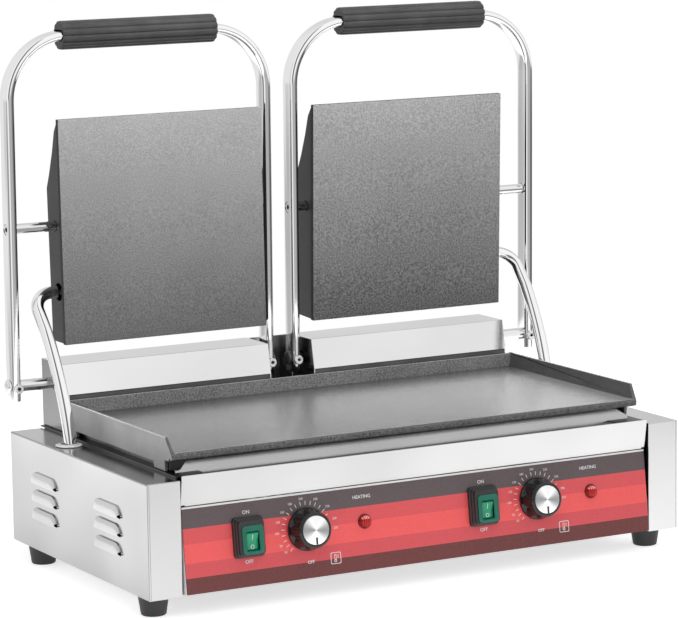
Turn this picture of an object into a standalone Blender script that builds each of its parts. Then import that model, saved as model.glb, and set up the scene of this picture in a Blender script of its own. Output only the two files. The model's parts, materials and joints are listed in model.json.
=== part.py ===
"""Double panini press: a countertop griddle with two hinged upper plates, as separate named pieces.

Lengths are in metres. Shapes are drawn in the build frame: X is 0 in the middle, Y is 0 at the front
face of the end casings and grows towards the back, and Z is 0 at the bottom edge of the end casings.
The base origin moves them so that the bounding box is centred and stands on Z = 0.
"""

import math

import bmesh
import bpy
from mathutils import Vector

LEFT, RIGHT = -1, 1
SIDE_NAMES = {LEFT: "left", RIGHT: "right"}

GAP = 0.0003
CUT_MARGIN = 0.004
SHEET = 0.0012
TRAY_SHEET = 0.0010
SHIELD_SHEET = 0.0010

# End casings and feet
BODY_HALF_W = 0.2850
BODY_H = 0.1068
BODY_D = 0.3059
CASING_W = 0.0334
CASING_IN_X = BODY_HALF_W - CASING_W
FOOT_H = 0.0197
FOOT_TOP_R = 0.0145
FOOT_BOTTOM_R = 0.01175
FOOT_EDGE = 0.0010
FOOT_SIDE = 0.0180
FOOT_X = BODY_HALF_W - FOOT_SIDE
FOOT_END = 0.0300
FOOT_FRONT_Y = FOOT_END
FOOT_BACK_Y = BODY_D - FOOT_END
FOOT_STEM_R = 0.0040
FOOT_STEM_UP = 0.0024
LOUVRE_COLUMN_SHARES = (0.278, 0.742)
LOUVRE_ROW_SHARES = (0.665, 0.506, 0.342)
LOUVRE_LENGTH = 0.0560
LOUVRE_UP = 0.0060
LOUVRE_DOWN = 0.0050
LOUVRE_OUT = 0.0036
LOUVRE_LIP = 0.0030

# Chassis
CHASSIS_X = CASING_IN_X - GAP
CHASSIS_FLOOR_Z = 0.0020
CHASSIS_FRONT_Y = 0.0105
CHASSIS_END = 0.0049
CHASSIS_BACK_Y = BODY_D - CHASSIS_END
FLANGE_OVER = 0.0021
FLANGE_TOP_Z = BODY_H + FLANGE_OVER
FLANGE_W = 0.0300
LEDGE_DROP = 0.0251
LEDGE_TOP_Z = BODY_H - LEDGE_DROP
LEDGE_W = 0.0120
LEDGE_T = 0.0010
DECK_D = 0.0550
DECK_OVERHANG = 0.0041
DECK_BACK_Y = BODY_D + DECK_OVERHANG
DECK_FRONT_Y = DECK_BACK_Y - DECK_D
VENT_W = 0.0050
VENT_LENGTH = 0.0600
VENT_PITCH = 0.0150
VENT_COUNT = 5
FLOOR_VENT_SHARE = 0.687
REST_Z = FLANGE_TOP_Z + GAP

# Front panel and overlay, in a frame at the bottom edge of the overlay, leaning back with it
PANEL_BOTTOM_Y = -0.0041
PANEL_BOTTOM_Z = 0.0023
PANEL_TOP_Y = 0.0055
PANEL_DROP = 0.0258
PANEL_TOP_Z = BODY_H - PANEL_DROP
PANEL_TILT = math.atan2(PANEL_TOP_Y - PANEL_BOTTOM_Y, PANEL_TOP_Z - PANEL_BOTTOM_Z)
PANEL_LENGTH = math.hypot(PANEL_TOP_Y - PANEL_BOTTOM_Y, PANEL_TOP_Z - PANEL_BOTTOM_Z)
OVERLAY_SIDE = 0.0026
OVERLAY_HALF_W = CASING_IN_X - OVERLAY_SIDE
OVERLAY_T = 0.0005
PANEL_SIDE = 0.0020
PANEL_HALF_W = CASING_IN_X - PANEL_SIDE
PANEL_RETURN = 0.0110
PANEL_FRONT = OVERLAY_T + GAP
PANEL_BACK = PANEL_FRONT + SHEET
BEHIND_PANEL = PANEL_BACK + GAP

# Controls on the panel
GROUP_SHARE = 0.4361
GROUP_X = BODY_HALF_W * GROUP_SHARE
CONTROL_SHARE = 0.5739
CONTROL_UP = PANEL_LENGTH * CONTROL_SHARE
SWITCH_SIDE = -0.0605
LAMP_SIDE = 0.0610
KNOB_BASE_R = 0.0200
KNOB_WAIST_R = 0.0186
KNOB_FRONT_R = 0.0168
KNOB_RIM_R = 0.0157
KNOB_SCALLOP = 0.0022
KNOB_SCALLOPS = 8
KNOB_OFF_PANEL = 0.0012
KNOB_SKIRT = 0.0040
KNOB_SCALLOP_START = 0.0062
KNOB_SCALLOP_END = 0.0150
KNOB_SHOULDER = 0.0178
KNOB_FRONT = 0.0194
KNOB_BORE_R = 0.0033
KNOB_BORE_END = 0.0140
CAP_R = 0.0134
CAP_FRONT = 0.0200
CAP_T = 0.0014
CAP_CHAMFER = 0.0004
SPINDLE_R = 0.0030
SPINDLE_FRONT = 0.0136
SPINDLE_BACK = 0.0180
THERMOSTAT_R = 0.0190
THERMOSTAT_DEPTH = 0.0320
THERMOSTAT_BORE_R = 0.0034
THERMOSTAT_BORE_END = 0.0200
COLLAR_R = 0.0055
COLLAR_FRONT = 0.0009
HOOD_HALF_W = 0.0155
HOOD_HALF_H = 0.01875
HOOD_OUT = 0.0095
HOOD_SHARES = ((0.03, 1.00), (0.32, 0.99), (0.40, 0.92), (0.63, 0.91), (0.71, 0.845), (1.00, 0.835))
HOOD_CORNER_SHARE = 0.22
SWITCH_BODY_HALF_W = 0.0110
SWITCH_BODY_HALF_H = 0.0140
SWITCH_BODY_DEPTH = 0.0280
ROCKER_R = 0.0092
ROCKER_HALF_W = 0.0075
ROCKER_AXIS_OUT = 0.0035
ROCKER_EDGE_DEG = 35.0
ROCKER_MIDDLE = 0.0043
ROCKER_BACK_DEG = -22.0
ROCKER_REST_DEG = 9.0
POCKET_CLEAR = 0.0004
LAMP_BEZEL_R = 0.0069
LAMP_LENS_R = 0.0063
LAMP_SHOULDER_R = 0.0052
LAMP_TIP_R = 0.0020
LAMP_BEZEL_OUT = 0.0012
LAMP_SHOULDER_OUT = 0.0042
LAMP_TIP_OUT = 0.0058
LAMP_BODY_R = 0.0046
LAMP_DEPTH = 0.0180
HOLE_CLEAR = 0.0004

# Drip tray and front baffle
TRAY_FRONT_SIDE = 0.0017
TRAY_FRONT_HALF_W = CASING_IN_X - TRAY_FRONT_SIDE
TRAY_TOP_Y = 0.0005
TRAY_OVER = 0.0039
TRAY_TOP_Z = BODY_H + TRAY_OVER
TRAY_LOW_Y = 0.0047
TRAY_PANEL_GAP = 0.0019
TRAY_LOW_Z = PANEL_TOP_Z + TRAY_PANEL_GAP
TRAY_SIDE = 0.0056
TRAY_HALF_W = CASING_IN_X - TRAY_SIDE
TRAY_START_Y = 0.0042
TRAY_END = 0.0609
TRAY_BACK_Y = BODY_D - TRAY_END
TRAY_RIM_DROP = 0.0028
TRAY_RIM_Z = BODY_H - TRAY_RIM_DROP
TRAY_BOTTOM_Z = LEDGE_TOP_Z + GAP
BAFFLE_Y = 0.0285
BAFFLE_H = 0.0099
BAFFLE_TOP_Z = REST_Z + BAFFLE_H
BAFFLE_SIDE = 0.0074
BAFFLE_CORNER = 0.0118
BAFFLE_LOW_HALF_W = CASING_IN_X - BAFFLE_SIDE
BAFFLE_TOP_HALF_W = BAFFLE_LOW_HALF_W - BAFFLE_CORNER
BAFFLE_SHOULDER = 0.0076
BAFFLE_SHOULDER_Z = BAFFLE_TOP_Z - BAFFLE_SHOULDER
BAFFLE_FOOT_BACK_Y = 0.0395
BAFFLE_FOOT_SIDE = 0.0116
BAFFLE_FOOT_HALF_W = CASING_IN_X - BAFFLE_FOOT_SIDE
SHIELD_SIDE = 0.0086
SHIELD_HALF_W = CASING_IN_X - SHIELD_SIDE
SHIELD_FRONT_Y = BAFFLE_FOOT_BACK_Y + GAP
SHIELD_END = 0.0599
SHIELD_BACK_Y = BODY_D - SHIELD_END
SHIELD_H = 0.0038
SHIELD_EDGE_Z = REST_Z + SHIELD_H

# Griddle
GRIDDLE_OVERHANG = 0.0005
WALL_T = 0.0029
WALL_DRAFT = 0.0022
SKIRT_DRAFT = 0.0026
SKIRT_T = 0.0030
SURFACE_UP = 0.0188
SURFACE_Z = REST_Z + SURFACE_UP
GRIDDLE_T = 0.0084
UNDERSIDE_Z = SURFACE_Z - GRIDDLE_T
WALL_OUT_X = CASING_IN_X + GRIDDLE_OVERHANG
WALL_IN_X = WALL_OUT_X - WALL_T
SURFACE_HALF_W = WALL_IN_X - WALL_DRAFT
WALL_H = 0.0140
WALL_TOP_Z = SURFACE_Z + WALL_H
SKIRT_OUT_X = WALL_OUT_X - SKIRT_DRAFT
SKIRT_IN_X = SKIRT_OUT_X - SKIRT_T
GRIDDLE_FRONT_Y = 0.0194
LIP_DROP = 0.0020
LIP_T = 0.0042
LIP_TOP_Z = SURFACE_Z - LIP_DROP
LIP_LOW_Z = LIP_TOP_Z - LIP_T
LIP_ROOT_Y = 0.0280
WALL_START_Y = 0.0300
LEG_FRONT_Y = 0.0353
LEG_END_Y = 0.0590
LEG_H = 0.0058
SKIRT_Z = REST_Z + LEG_H
GRIDDLE_END = 0.0536
GRIDDLE_BACK_Y = BODY_D - GRIDDLE_END
BACK_WALL_T = 0.0035
BACK_WALL_Y = GRIDDLE_BACK_Y - BACK_WALL_T
BACK_WALL_H = 0.0138
BACK_WALL_TOP_Z = SURFACE_Z + BACK_WALL_H
BACK_LEG_D = 0.0233
BACK_LEG_Y = GRIDDLE_BACK_Y - BACK_LEG_D

# Legs of the lid frames
TUBE_W = 0.0090
TUBE_D = 0.0200
TUBE_WALL = 0.0015
LEG_OVERHANG = 0.0039
OUTER_LEG_X = BODY_HALF_W + LEG_OVERHANG
INNER_LEG_X = 0.01495
LID_MIDDLE_X = (INNER_LEG_X + OUTER_LEG_X) / 2
LID_SPAN = OUTER_LEG_X - INNER_LEG_X

# Hinge housings, brackets and the plate between the housings
HOUSING_LEG_GAP = 0.00475
HOUSING_IN_X = INNER_LEG_X + TUBE_W / 2 + HOUSING_LEG_GAP
HOUSING_SIDE = 0.0033
HOUSING_OUT_X = CASING_IN_X - HOUSING_SIDE
HOUSING_D = 0.0525
HOUSING_BACK_Y = DECK_BACK_Y
HOUSING_FRONT_Y = HOUSING_BACK_Y - HOUSING_D
HOUSING_FACE_UP = 0.0362
HOUSING_FACE_Z = REST_Z + HOUSING_FACE_UP
HOUSING_SLOPE = 0.0056
HOUSING_TOP_Y = HOUSING_FRONT_Y + HOUSING_SLOPE
HOUSING_H = 0.0655
HOUSING_TOP_Z = REST_Z + HOUSING_H
BACK_PLATE_IN = 0.0060
BACK_PLATE_Y = HOUSING_BACK_Y - BACK_PLATE_IN
BACK_PLATE_TOP_Z = HOUSING_TOP_Z + GAP
BACK_PLATE_FOOT = 0.0115
BACK_PLATE_FOOT_Y = BACK_PLATE_Y - BACK_PLATE_FOOT
BRACKET_INSET = 0.0360
BRACKET_IN_X = HOUSING_IN_X + BRACKET_INSET
BRACKET_OUT_X = HOUSING_OUT_X - BRACKET_INSET
BRACKET_FRONT = 0.0125
BRACKET_D = 0.0300
BRACKET_FRONT_Y = HOUSING_FRONT_Y + BRACKET_FRONT
BRACKET_BACK_Y = BRACKET_FRONT_Y + BRACKET_D
BRACKET_T = 0.0030
BRACKET_H = 0.0588
BRACKET_TOP_Z = REST_Z + BRACKET_H
BUSH_R = 0.0095
BUSH_OVER = 0.0030
SPRING_INSET = 0.0300
SPRING_X = BRACKET_IN_X + SPRING_INSET
SPRING_R = 0.0100
SPRING_WIRE_R = 0.0014
SPRING_PITCH = 0.0042
SPRING_TURNS = 5.25
SPRING_STEPS = 52
SPRING_ARM = 0.0120

# Lids: in each lid's frame X is 0 in the middle of the press, and Y and Z are 0 on the pivot axis
PIVOT_IN = 0.02735
PIVOT_Y = HOUSING_FRONT_Y + PIVOT_IN
PIVOT_UP = 0.0451
PIVOT_Z = REST_Z + PIVOT_UP
LID_LEAN_DEG = 0.8
SHAFT_R = 0.0060
HEAD_R = 0.0070
HEAD_DOME_R = 0.0045
HEAD_T = 0.0032
HEAD_RIM_T = 0.0019
LEG_DROP = 0.0133
LID_TOP = 0.3347
LID_CORNER_R = 0.0600
GRIP_SHARE = 0.5986
GRIP_LENGTH = LID_SPAN * GRIP_SHARE
GRIP_HALF_Y = 0.0128
GRIP_HALF_Z = 0.01415
GRIP_FACETS = 12
GRIP_GROOVE = 0.0009
GRIP_BORE_CLEAR = 0.0010
BOLT_HEAD_R = 0.0040
BOLT_HEAD_T = 0.0032
BOLT_SHANK_R = 0.0020
BOLT_SOCKET_R = 0.0020
BOLT_SOCKET_DEPTH = 0.0018
BOLT_TIP_Y = -0.0020
AXLE_UP = 0.1522
AXLE_R = 0.0050
AXLE_RECESS = 0.0006
AXLE_SOCKET_R = 0.0026
AXLE_SOCKET_DEPTH = 0.0050

# Upper plates: Y and Z are 0 on the axle
PLATE_LEG_GAP = 0.00855
PLATE_SIDE = 0.0400
PLATE_IN_X = INNER_LEG_X + TUBE_W / 2 + PLATE_LEG_GAP
PLATE_OUT_X = BODY_HALF_W - PLATE_SIDE
PLATE_FRONT_Y = -0.0220
PLATE_RIM_BACK_Y = -0.0165
PLATE_BACK_Y = -0.0125
PLATE_TOP = 0.1034
PLATE_BOTTOM = -0.1130
PLATE_PAD_INSET = 0.0040
PLATE_PAD_END_INSET = 0.0060
PLATE_REST_DEG = {LEFT: -1.88, RIGHT: 1.12}
COVER_INSET = 0.0025
COVER_FRONT_Y = -0.0140
COVER_BACK_Y = 0.0160
COVER_BACK_LOW_Y = 0.0136
COVER_TOP = 0.1030
COVER_SHOULDER = 0.0355
COVER_HEEL = -0.1123
COVER_BOTTOM = -0.1130
COVER_SLOPE_SHARES = ((0.283, 0.825), (0.490, 0.526), (0.767, 0.215))
LUG_T = 0.0080
LUG_R = 0.0090
LUG_HALF_H = 0.0120
LUG_INSET = 0.0320
LUG_XS = (PLATE_IN_X + LUG_INSET, PLATE_OUT_X - LUG_INSET)
UPPER_ELEMENT_Y = -0.0090
UPPER_ELEMENT_R = 0.0032
UPPER_ELEMENT_INSET = 0.0530
UPPER_ELEMENT_IN_X = PLATE_IN_X + UPPER_ELEMENT_INSET
UPPER_ELEMENT_OUT_X = PLATE_OUT_X - UPPER_ELEMENT_INSET
UPPER_ELEMENT_TOP = 0.0850
UPPER_ELEMENT_LOW = -0.0950
UPPER_ELEMENT_ENDS = (-0.0200, -0.0450)
UPPER_ELEMENT_TAIL_Y = 0.0030

# Lower heating elements
LOWER_ELEMENT_R = 0.0035
LOWER_ELEMENT_DROP = 0.0050
LOWER_ELEMENT_Z = UNDERSIDE_Z - LOWER_ELEMENT_DROP
LOWER_ELEMENT_SHARES = (0.165, 0.453, 0.658, 0.926)
LOWER_ELEMENT_XS = tuple(SHIELD_HALF_W * share for share in LOWER_ELEMENT_SHARES)
LOWER_ELEMENT_FRONT_Y = 0.0600
LOWER_ELEMENT_END = 0.0273
LOWER_ELEMENT_TURN_Y = GRIDDLE_BACK_Y - LOWER_ELEMENT_END
LOWER_LEAD_IN = 0.0090
LOWER_LEAD_Y = DECK_FRONT_Y + LOWER_LEAD_IN
LOWER_LEAD_DROP = 0.0342
LOWER_LEAD_Z = REST_Z - LOWER_LEAD_DROP
LEAD_HOLE_R = 0.0068
BEND_R = 0.0110

# Conduits
CONDUIT_R = 0.0060
CONDUIT_ENTRY_Y = -0.0040
CONDUIT_ENTRY_Z = 0.0887
CONDUIT_INSIDE = 0.0105
CONDUIT_TOP_SIDE = 0.0150
CONDUIT_LOW_SIDE = 0.0186
CONDUIT_HOLE_SIDE = 0.0170
CONDUIT_TOP_X = BODY_HALF_W - CONDUIT_TOP_SIDE
CONDUIT_LOW_X = BODY_HALF_W - CONDUIT_LOW_SIDE
CONDUIT_HOLE_X = BODY_HALF_W - CONDUIT_HOLE_SIDE
CONDUIT_REACH = 0.07885
CONDUIT_HOLE_Y = PIVOT_Y - CONDUIT_REACH
CONDUIT_HOLE_UP = 0.0008
CONDUIT_HOLE_Z = BODY_H + CONDUIT_HOLE_UP
CONDUIT_HOLE_R = 0.0090
CONDUIT_BEND_R = 0.0200
CONDUIT_TAIL = 0.0055
CONDUIT_SHARE = 0.62
CONDUIT_STEPS = 13
COVER_HOLE_R = 0.0087
WASHER_R = 0.0130
WASHER_BORE_R = 0.0086
WASHER_T = 0.0022
WASHER_CHAMFER = 0.0006

# Rear panel and cable gland
REAR_SIDE = 0.0016
REAR_HALF_W = CASING_IN_X - REAR_SIDE
REAR_TOP_Z = FLANGE_TOP_Z - SHEET - GAP
REAR_VENT_SHARE = 0.515
REAR_VENT_Z = BODY_H * REAR_VENT_SHARE
GLAND_SIDE = 0.0716
GLAND_X = GLAND_SIDE - CASING_IN_X
GLAND_SHARE = 0.3745
GLAND_Z = BODY_H * GLAND_SHARE
GLAND_BORE_R = 0.0040
GLAND_NECK_R = 0.0070
GLAND_NUT_R = 0.0100
GLAND_NUT_T = 0.0060
GLAND_NUT_Y = CHASSIS_BACK_Y - GLAND_NUT_T
GLAND_FLANGE_R = 0.0110
GLAND_FLANGE_T = 0.0042
GLAND_BODY_R = 0.0085
GLAND_TAPER = 0.0040
GLAND_TIP_R = 0.0065
GLAND_REACH = 0.0190
GLAND_BACK_Y = CHASSIS_BACK_Y + GLAND_REACH
GLAND_TAPER_Y = GLAND_BACK_Y - GLAND_TAPER

FRONT_MOST_Y = (
    PANEL_BOTTOM_Y
    + (CONTROL_UP - CAP_R + CAP_CHAMFER) * math.sin(PANEL_TILT)
    - CAP_FRONT * math.cos(PANEL_TILT)
)
Y_MID = (FRONT_MOST_Y + GLAND_BACK_Y) / 2

ROUND = 18
SMALL_ROUND = 12
TUBE_SIDES = 8


def clear_scene():
    for item in list(bpy.data.objects):
        bpy.data.objects.remove(item)


def make_material(name, colour, metallic, roughness):
    material = bpy.data.materials.new(name)
    material.use_nodes = True
    shader = material.node_tree.nodes["Principled BSDF"]
    shader.inputs["Base Color"].default_value = (*colour, 1)
    shader.inputs["Metallic"].default_value = metallic
    shader.inputs["Roughness"].default_value = roughness
    material.diffuse_color = (*colour, 1)
    return material


def make_empty(name, parent, place, turn=0.0):
    """An empty on a joint axis, turned about X."""
    empty = bpy.data.objects.new(name, None)
    bpy.context.scene.collection.objects.link(empty)
    empty.parent = parent
    empty.location = place
    empty.rotation_euler = (turn, 0, 0)
    return empty


def add_mesh(name, shape, parent):
    """An object from (points, faces), with its faces turned outwards."""
    points, faces = shape
    mesh = bpy.data.meshes.new(name)
    mesh.from_pydata([Vector(p) for p in points], [], faces)
    made = bmesh.new()
    made.from_mesh(mesh)
    bmesh.ops.recalc_face_normals(made, faces=made.faces)
    made.to_mesh(mesh)
    made.free()
    item = bpy.data.objects.new(name, mesh)
    bpy.context.scene.collection.objects.link(item)
    item.parent = parent
    return item


def add_part(name, shape, material, parent, joins=(), cuts=(), smooth=False):
    """A node, with hidden Boolean helpers for what is joined to it and cut from it."""
    part = add_mesh(name, shape, parent)
    part.data.materials.append(material)
    helpers = [("UNION", other) for other in joins] + [("DIFFERENCE", other) for other in cuts]
    for number, (operation, other) in enumerate(helpers):
        helper = add_mesh(f"{name}_helper_{number}", other, parent)
        helper.hide_render = True
        helper.display_type = "WIRE"
        modifier = part.modifiers.new(f"boolean_{number}", "BOOLEAN")
        modifier.operation = operation
        modifier.solver = "EXACT"
        modifier.object = helper
    if smooth:
        part.data.polygons.foreach_set("use_smooth", [True] * len(part.data.polygons))
        part.data.set_sharp_from_angle(angle=math.radians(35))
    return part


def prism(outline, axis, low, high):
    """A closed outline pushed along an axis. The outline holds (Y, Z), (X, Z) or (X, Y) for X, Y or Z."""
    count = len(outline)
    points = []
    for level in (low, high):
        for a, b in outline:
            points.append({"X": (level, a, b), "Y": (a, level, b), "Z": (a, b, level)}[axis])
    faces = [list(range(count)), list(range(count, 2 * count))]
    for i in range(count):
        j = (i + 1) % count
        faces.append([i, j, count + j, count + i])
    return points, faces


def box(x, y, z):
    """A box from three (low, high) pairs."""
    outline = [(x[0], y[0]), (x[1], y[0]), (x[1], y[1]), (x[0], y[1])]
    return prism(outline, "Z", z[0], z[1])


def together(shapes):
    """Separate closed shapes as one mesh."""
    points, faces = [], []
    for more_points, more_faces in shapes:
        start = len(points)
        points += more_points
        faces += [[start + i for i in face] for face in more_faces]
    return points, faces


def sided(shape, side):
    """The shape as drawn for the right side, or its mirror image for the left."""
    points, faces = shape
    return [(side * p[0], p[1], p[2]) for p in points], faces


def circle(radius, count, middle=(0, 0), turn=0.0):
    return [
        (
            middle[0] + radius * math.cos(turn + 2 * math.pi * i / count),
            middle[1] + radius * math.sin(turn + 2 * math.pi * i / count),
        )
        for i in range(count)
    ]


def rod(radius, axis, low, high, middle, count=ROUND):
    """A round rod along an axis, whose middle is given as in an outline."""
    return prism(circle(radius, count, middle, math.pi / count), axis, low, high)


def loft(rings, closed_ends=True):
    """Rings of the same number of points, skinned in order."""
    count = len(rings[0])
    points = [p for ring in rings for p in ring]
    faces = []
    for level in range(len(rings) - 1):
        for i in range(count):
            j = (i + 1) % count
            here, above = level * count, (level + 1) * count
            faces.append([here + i, here + j, above + j, above + i])
    if closed_ends:
        faces.append(list(range(count)))
        faces.append([(len(rings) - 1) * count + i for i in range(count)])
    return points, faces


def turned(profile, axis, middle, count=ROUND):
    """A closed (radius, level) profile turned about an axis through middle, given as in an outline.

    A profile whose first and last radius are 0 is closed by the axis. Another one is a ring.
    """
    solid = profile[0][0] == 0 and profile[-1][0] == 0
    inner = profile[1:-1] if solid else profile
    rings = []
    for radius, level in inner:
        ring = []
        for a, b in circle(radius, count, middle, math.pi / count):
            ring.append({"X": (level, a, b), "Y": (a, level, b), "Z": (a, b, level)}[axis])
        rings.append(ring)
    points, faces = loft(rings, closed_ends=False)
    last = (len(rings) - 1) * count
    if solid:
        faces.append(list(range(count)))
        faces.append([last + i for i in range(count)])
    else:
        for i in range(count):
            j = (i + 1) % count
            faces.append([last + i, last + j, j, i])
    return points, faces


def rounded_path(corners, radius, steps=4):
    """Points along straight runs between corners, with each inner corner rounded."""
    path = [Vector(corners[0])]
    for before, here, after in zip(corners, corners[1:], corners[2:]):
        here = Vector(here)
        back = (Vector(before) - here).normalized()
        ahead = (Vector(after) - here).normalized()
        half = back.angle(ahead) / 2
        reach = radius / math.tan(half)
        centre = here + (back + ahead).normalized() * (radius / math.sin(half))
        first = here + back * reach - centre
        last = here + ahead * reach - centre
        sweep = first.angle(last)
        for i in range(steps + 1):
            share = i / steps
            arm = first * math.sin((1 - share) * sweep) + last * math.sin(share * sweep)
            path.append(centre + arm / math.sin(sweep))
    path.append(Vector(corners[-1]))
    return path


def path_frames(path):
    """A point, a side and an upright direction at each point of a path, carried along without twist."""
    frames = []
    tangent = (path[1] - path[0]).normalized()
    upright = Vector((0, 1, 0)) if abs(tangent.y) < 0.9 else Vector((1, 0, 0))
    for i, point in enumerate(path):
        tangent = (path[min(i + 1, len(path) - 1)] - path[max(i - 1, 0)]).normalized()
        upright = (upright - tangent * upright.dot(tangent)).normalized()
        frames.append((point, tangent.cross(upright), upright, tangent))
    return frames


def swept(path, section):
    """A section of (side, upright) points carried along a path, mitred at each point."""
    rings = []
    for i, (point, side, upright, tangent) in enumerate(path_frames(path)):
        before = (path[i] - path[i - 1]).normalized() if i else tangent
        widen = 1 / max(before.dot(tangent), 0.5)
        bend = (tangent - before * before.dot(tangent)) if i else Vector((0, 0, 0))
        bend = bend.normalized() if bend.length > 1e-6 else None
        ring = []
        for a, b in section:
            arm = side * a + upright * b
            if bend is not None:
                out = bend - tangent * bend.dot(tangent)
                out = out.normalized() if out.length > 1e-6 else out
                arm = arm + out * arm.dot(out) * (widen - 1)
            ring.append(tuple(point + arm))
        rings.append(ring)
    return rings


def tube(path, radius, sides=TUBE_SIDES):
    return loft(swept(path, circle(radius, sides, turn=math.pi / sides)))


def stadium(half_w, half_d, steps=4):
    """A flat oval, half_w across and half_d along."""
    points = []
    straight = half_d - half_w
    for end, start in ((1, 0.0), (-1, math.pi)):
        for i in range(steps + 1):
            angle = start + math.pi * i / steps
            points.append((half_w * math.cos(angle), end * straight + half_w * math.sin(angle)))
    return points


def pipe_of(path, outer, inner):
    """A hollow tube, open at both ends, from two sections of the same number of points."""
    outer_rings, inner_rings = swept(path, outer), swept(path, inner)
    count = len(outer)
    points, faces = loft(outer_rings, closed_ends=False)
    start = len(points)
    more_points, more_faces = loft(inner_rings, closed_ends=False)
    points += more_points
    faces += [[start + i for i in face] for face in more_faces]
    last = (len(path) - 1) * count
    for level in (0, last):
        for i in range(count):
            j = (i + 1) % count
            faces.append([level + i, level + j, start + level + j, start + level + i])
    return points, faces


def inset(outline, distance):
    """A closed outline moved in by a distance, with mitred corners."""
    area = sum(a[0] * b[1] - b[0] * a[1] for a, b in zip(outline, outline[1:] + outline[:1]))
    turn = 1 if area > 0 else -1
    moved_in = []
    for i, here in enumerate(outline):
        here = Vector(here)
        before = (here - Vector(outline[i - 1])).normalized()
        after = (Vector(outline[(i + 1) % len(outline)]) - here).normalized()
        in_before = Vector((-before.y, before.x)) * turn
        in_after = Vector((-after.y, after.x)) * turn
        middle = (in_before + in_after).normalized()
        moved_in.append(tuple(here + middle * (distance / middle.dot(in_before))))
    return moved_in


def rounded_rectangle(half_w, half_h, corner, steps=3):
    points = []
    for quarter, (x, z) in enumerate(((1, 1), (-1, 1), (-1, -1), (1, -1))):
        for i in range(steps + 1):
            angle = math.pi * (quarter + i / steps) / 2
            points.append(
                (
                    x * (half_w - corner) + corner * math.cos(angle),
                    z * (half_h - corner) + corner * math.sin(angle),
                )
            )
    return points


def louvre(middle_y, middle_z, inside):
    """The raised hood of one louvre, or the hollow behind it."""
    x, top, low = BODY_HALF_W, middle_z + LOUVRE_UP, middle_z - LOUVRE_DOWN
    half = LOUVRE_LENGTH / 2
    if not inside:
        root = x - SHEET / 2
        outline = [
            (root, top),
            (x + LOUVRE_OUT, low + LOUVRE_LIP),
            (x + LOUVRE_OUT, low),
            (root, low),
        ]
        return prism(outline, "Y", middle_y - half, middle_y + half)
    behind = x - SHEET - CUT_MARGIN
    face = x + LOUVRE_OUT - SHEET
    outline = [
        (behind, top - SHEET),
        (x - SHEET, top - SHEET),
        (face, low + LOUVRE_LIP),
        (face, low - SHEET),
        (x + GAP, low - SHEET),
        (x + GAP, low + SHEET),
        (behind, low + SHEET),
    ]
    return prism(outline, "Y", middle_y - half + SHEET, middle_y + half - SHEET)


def end_casing(side, base, steel):
    shell = box((CASING_IN_X, BODY_HALF_W), (0, BODY_D), (0, BODY_H))
    hollow = box(
        (CASING_IN_X - CUT_MARGIN, BODY_HALF_W - SHEET),
        (SHEET, BODY_D - SHEET),
        (SHEET, BODY_H - SHEET),
    )
    places = [
        (BODY_D * column, BODY_H * row) for column in LOUVRE_COLUMN_SHARES for row in LOUVRE_ROW_SHARES
    ]
    hoods = together([louvre(y, z, False) for y, z in places])
    hollows = together([louvre(y, z, True) for y, z in places])
    stem_hole_r = FOOT_STEM_R + GAP
    holes = [
        rod(
            CONDUIT_HOLE_R, "Z", BODY_H - CUT_MARGIN, BODY_H + CUT_MARGIN,
            (CONDUIT_HOLE_X, CONDUIT_HOLE_Y),
        )
    ]
    for y in (FOOT_FRONT_Y, FOOT_BACK_Y):
        holes.append(rod(stem_hole_r, "Z", -CUT_MARGIN, CUT_MARGIN, (FOOT_X, y), SMALL_ROUND))
    add_part(
        f"end_casing_{SIDE_NAMES[side]}",
        sided(shell, side),
        steel,
        base,
        joins=[sided(hoods, side)],
        cuts=[sided(hollow, side), sided(hollows, side), sided(together(holes), side)],
    )


def foot(name, x, y, base, rubber):
    profile = [
        (0, -FOOT_H),
        (FOOT_BOTTOM_R - FOOT_EDGE, -FOOT_H),
        (FOOT_BOTTOM_R, -FOOT_H + FOOT_EDGE),
        (FOOT_TOP_R, -GAP),
        (FOOT_STEM_R, -GAP),
        (FOOT_STEM_R, FOOT_STEM_UP),
        (0, FOOT_STEM_UP),
    ]
    add_part(name, turned(profile, "Z", (x, y)), rubber, base, smooth=True)


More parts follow.
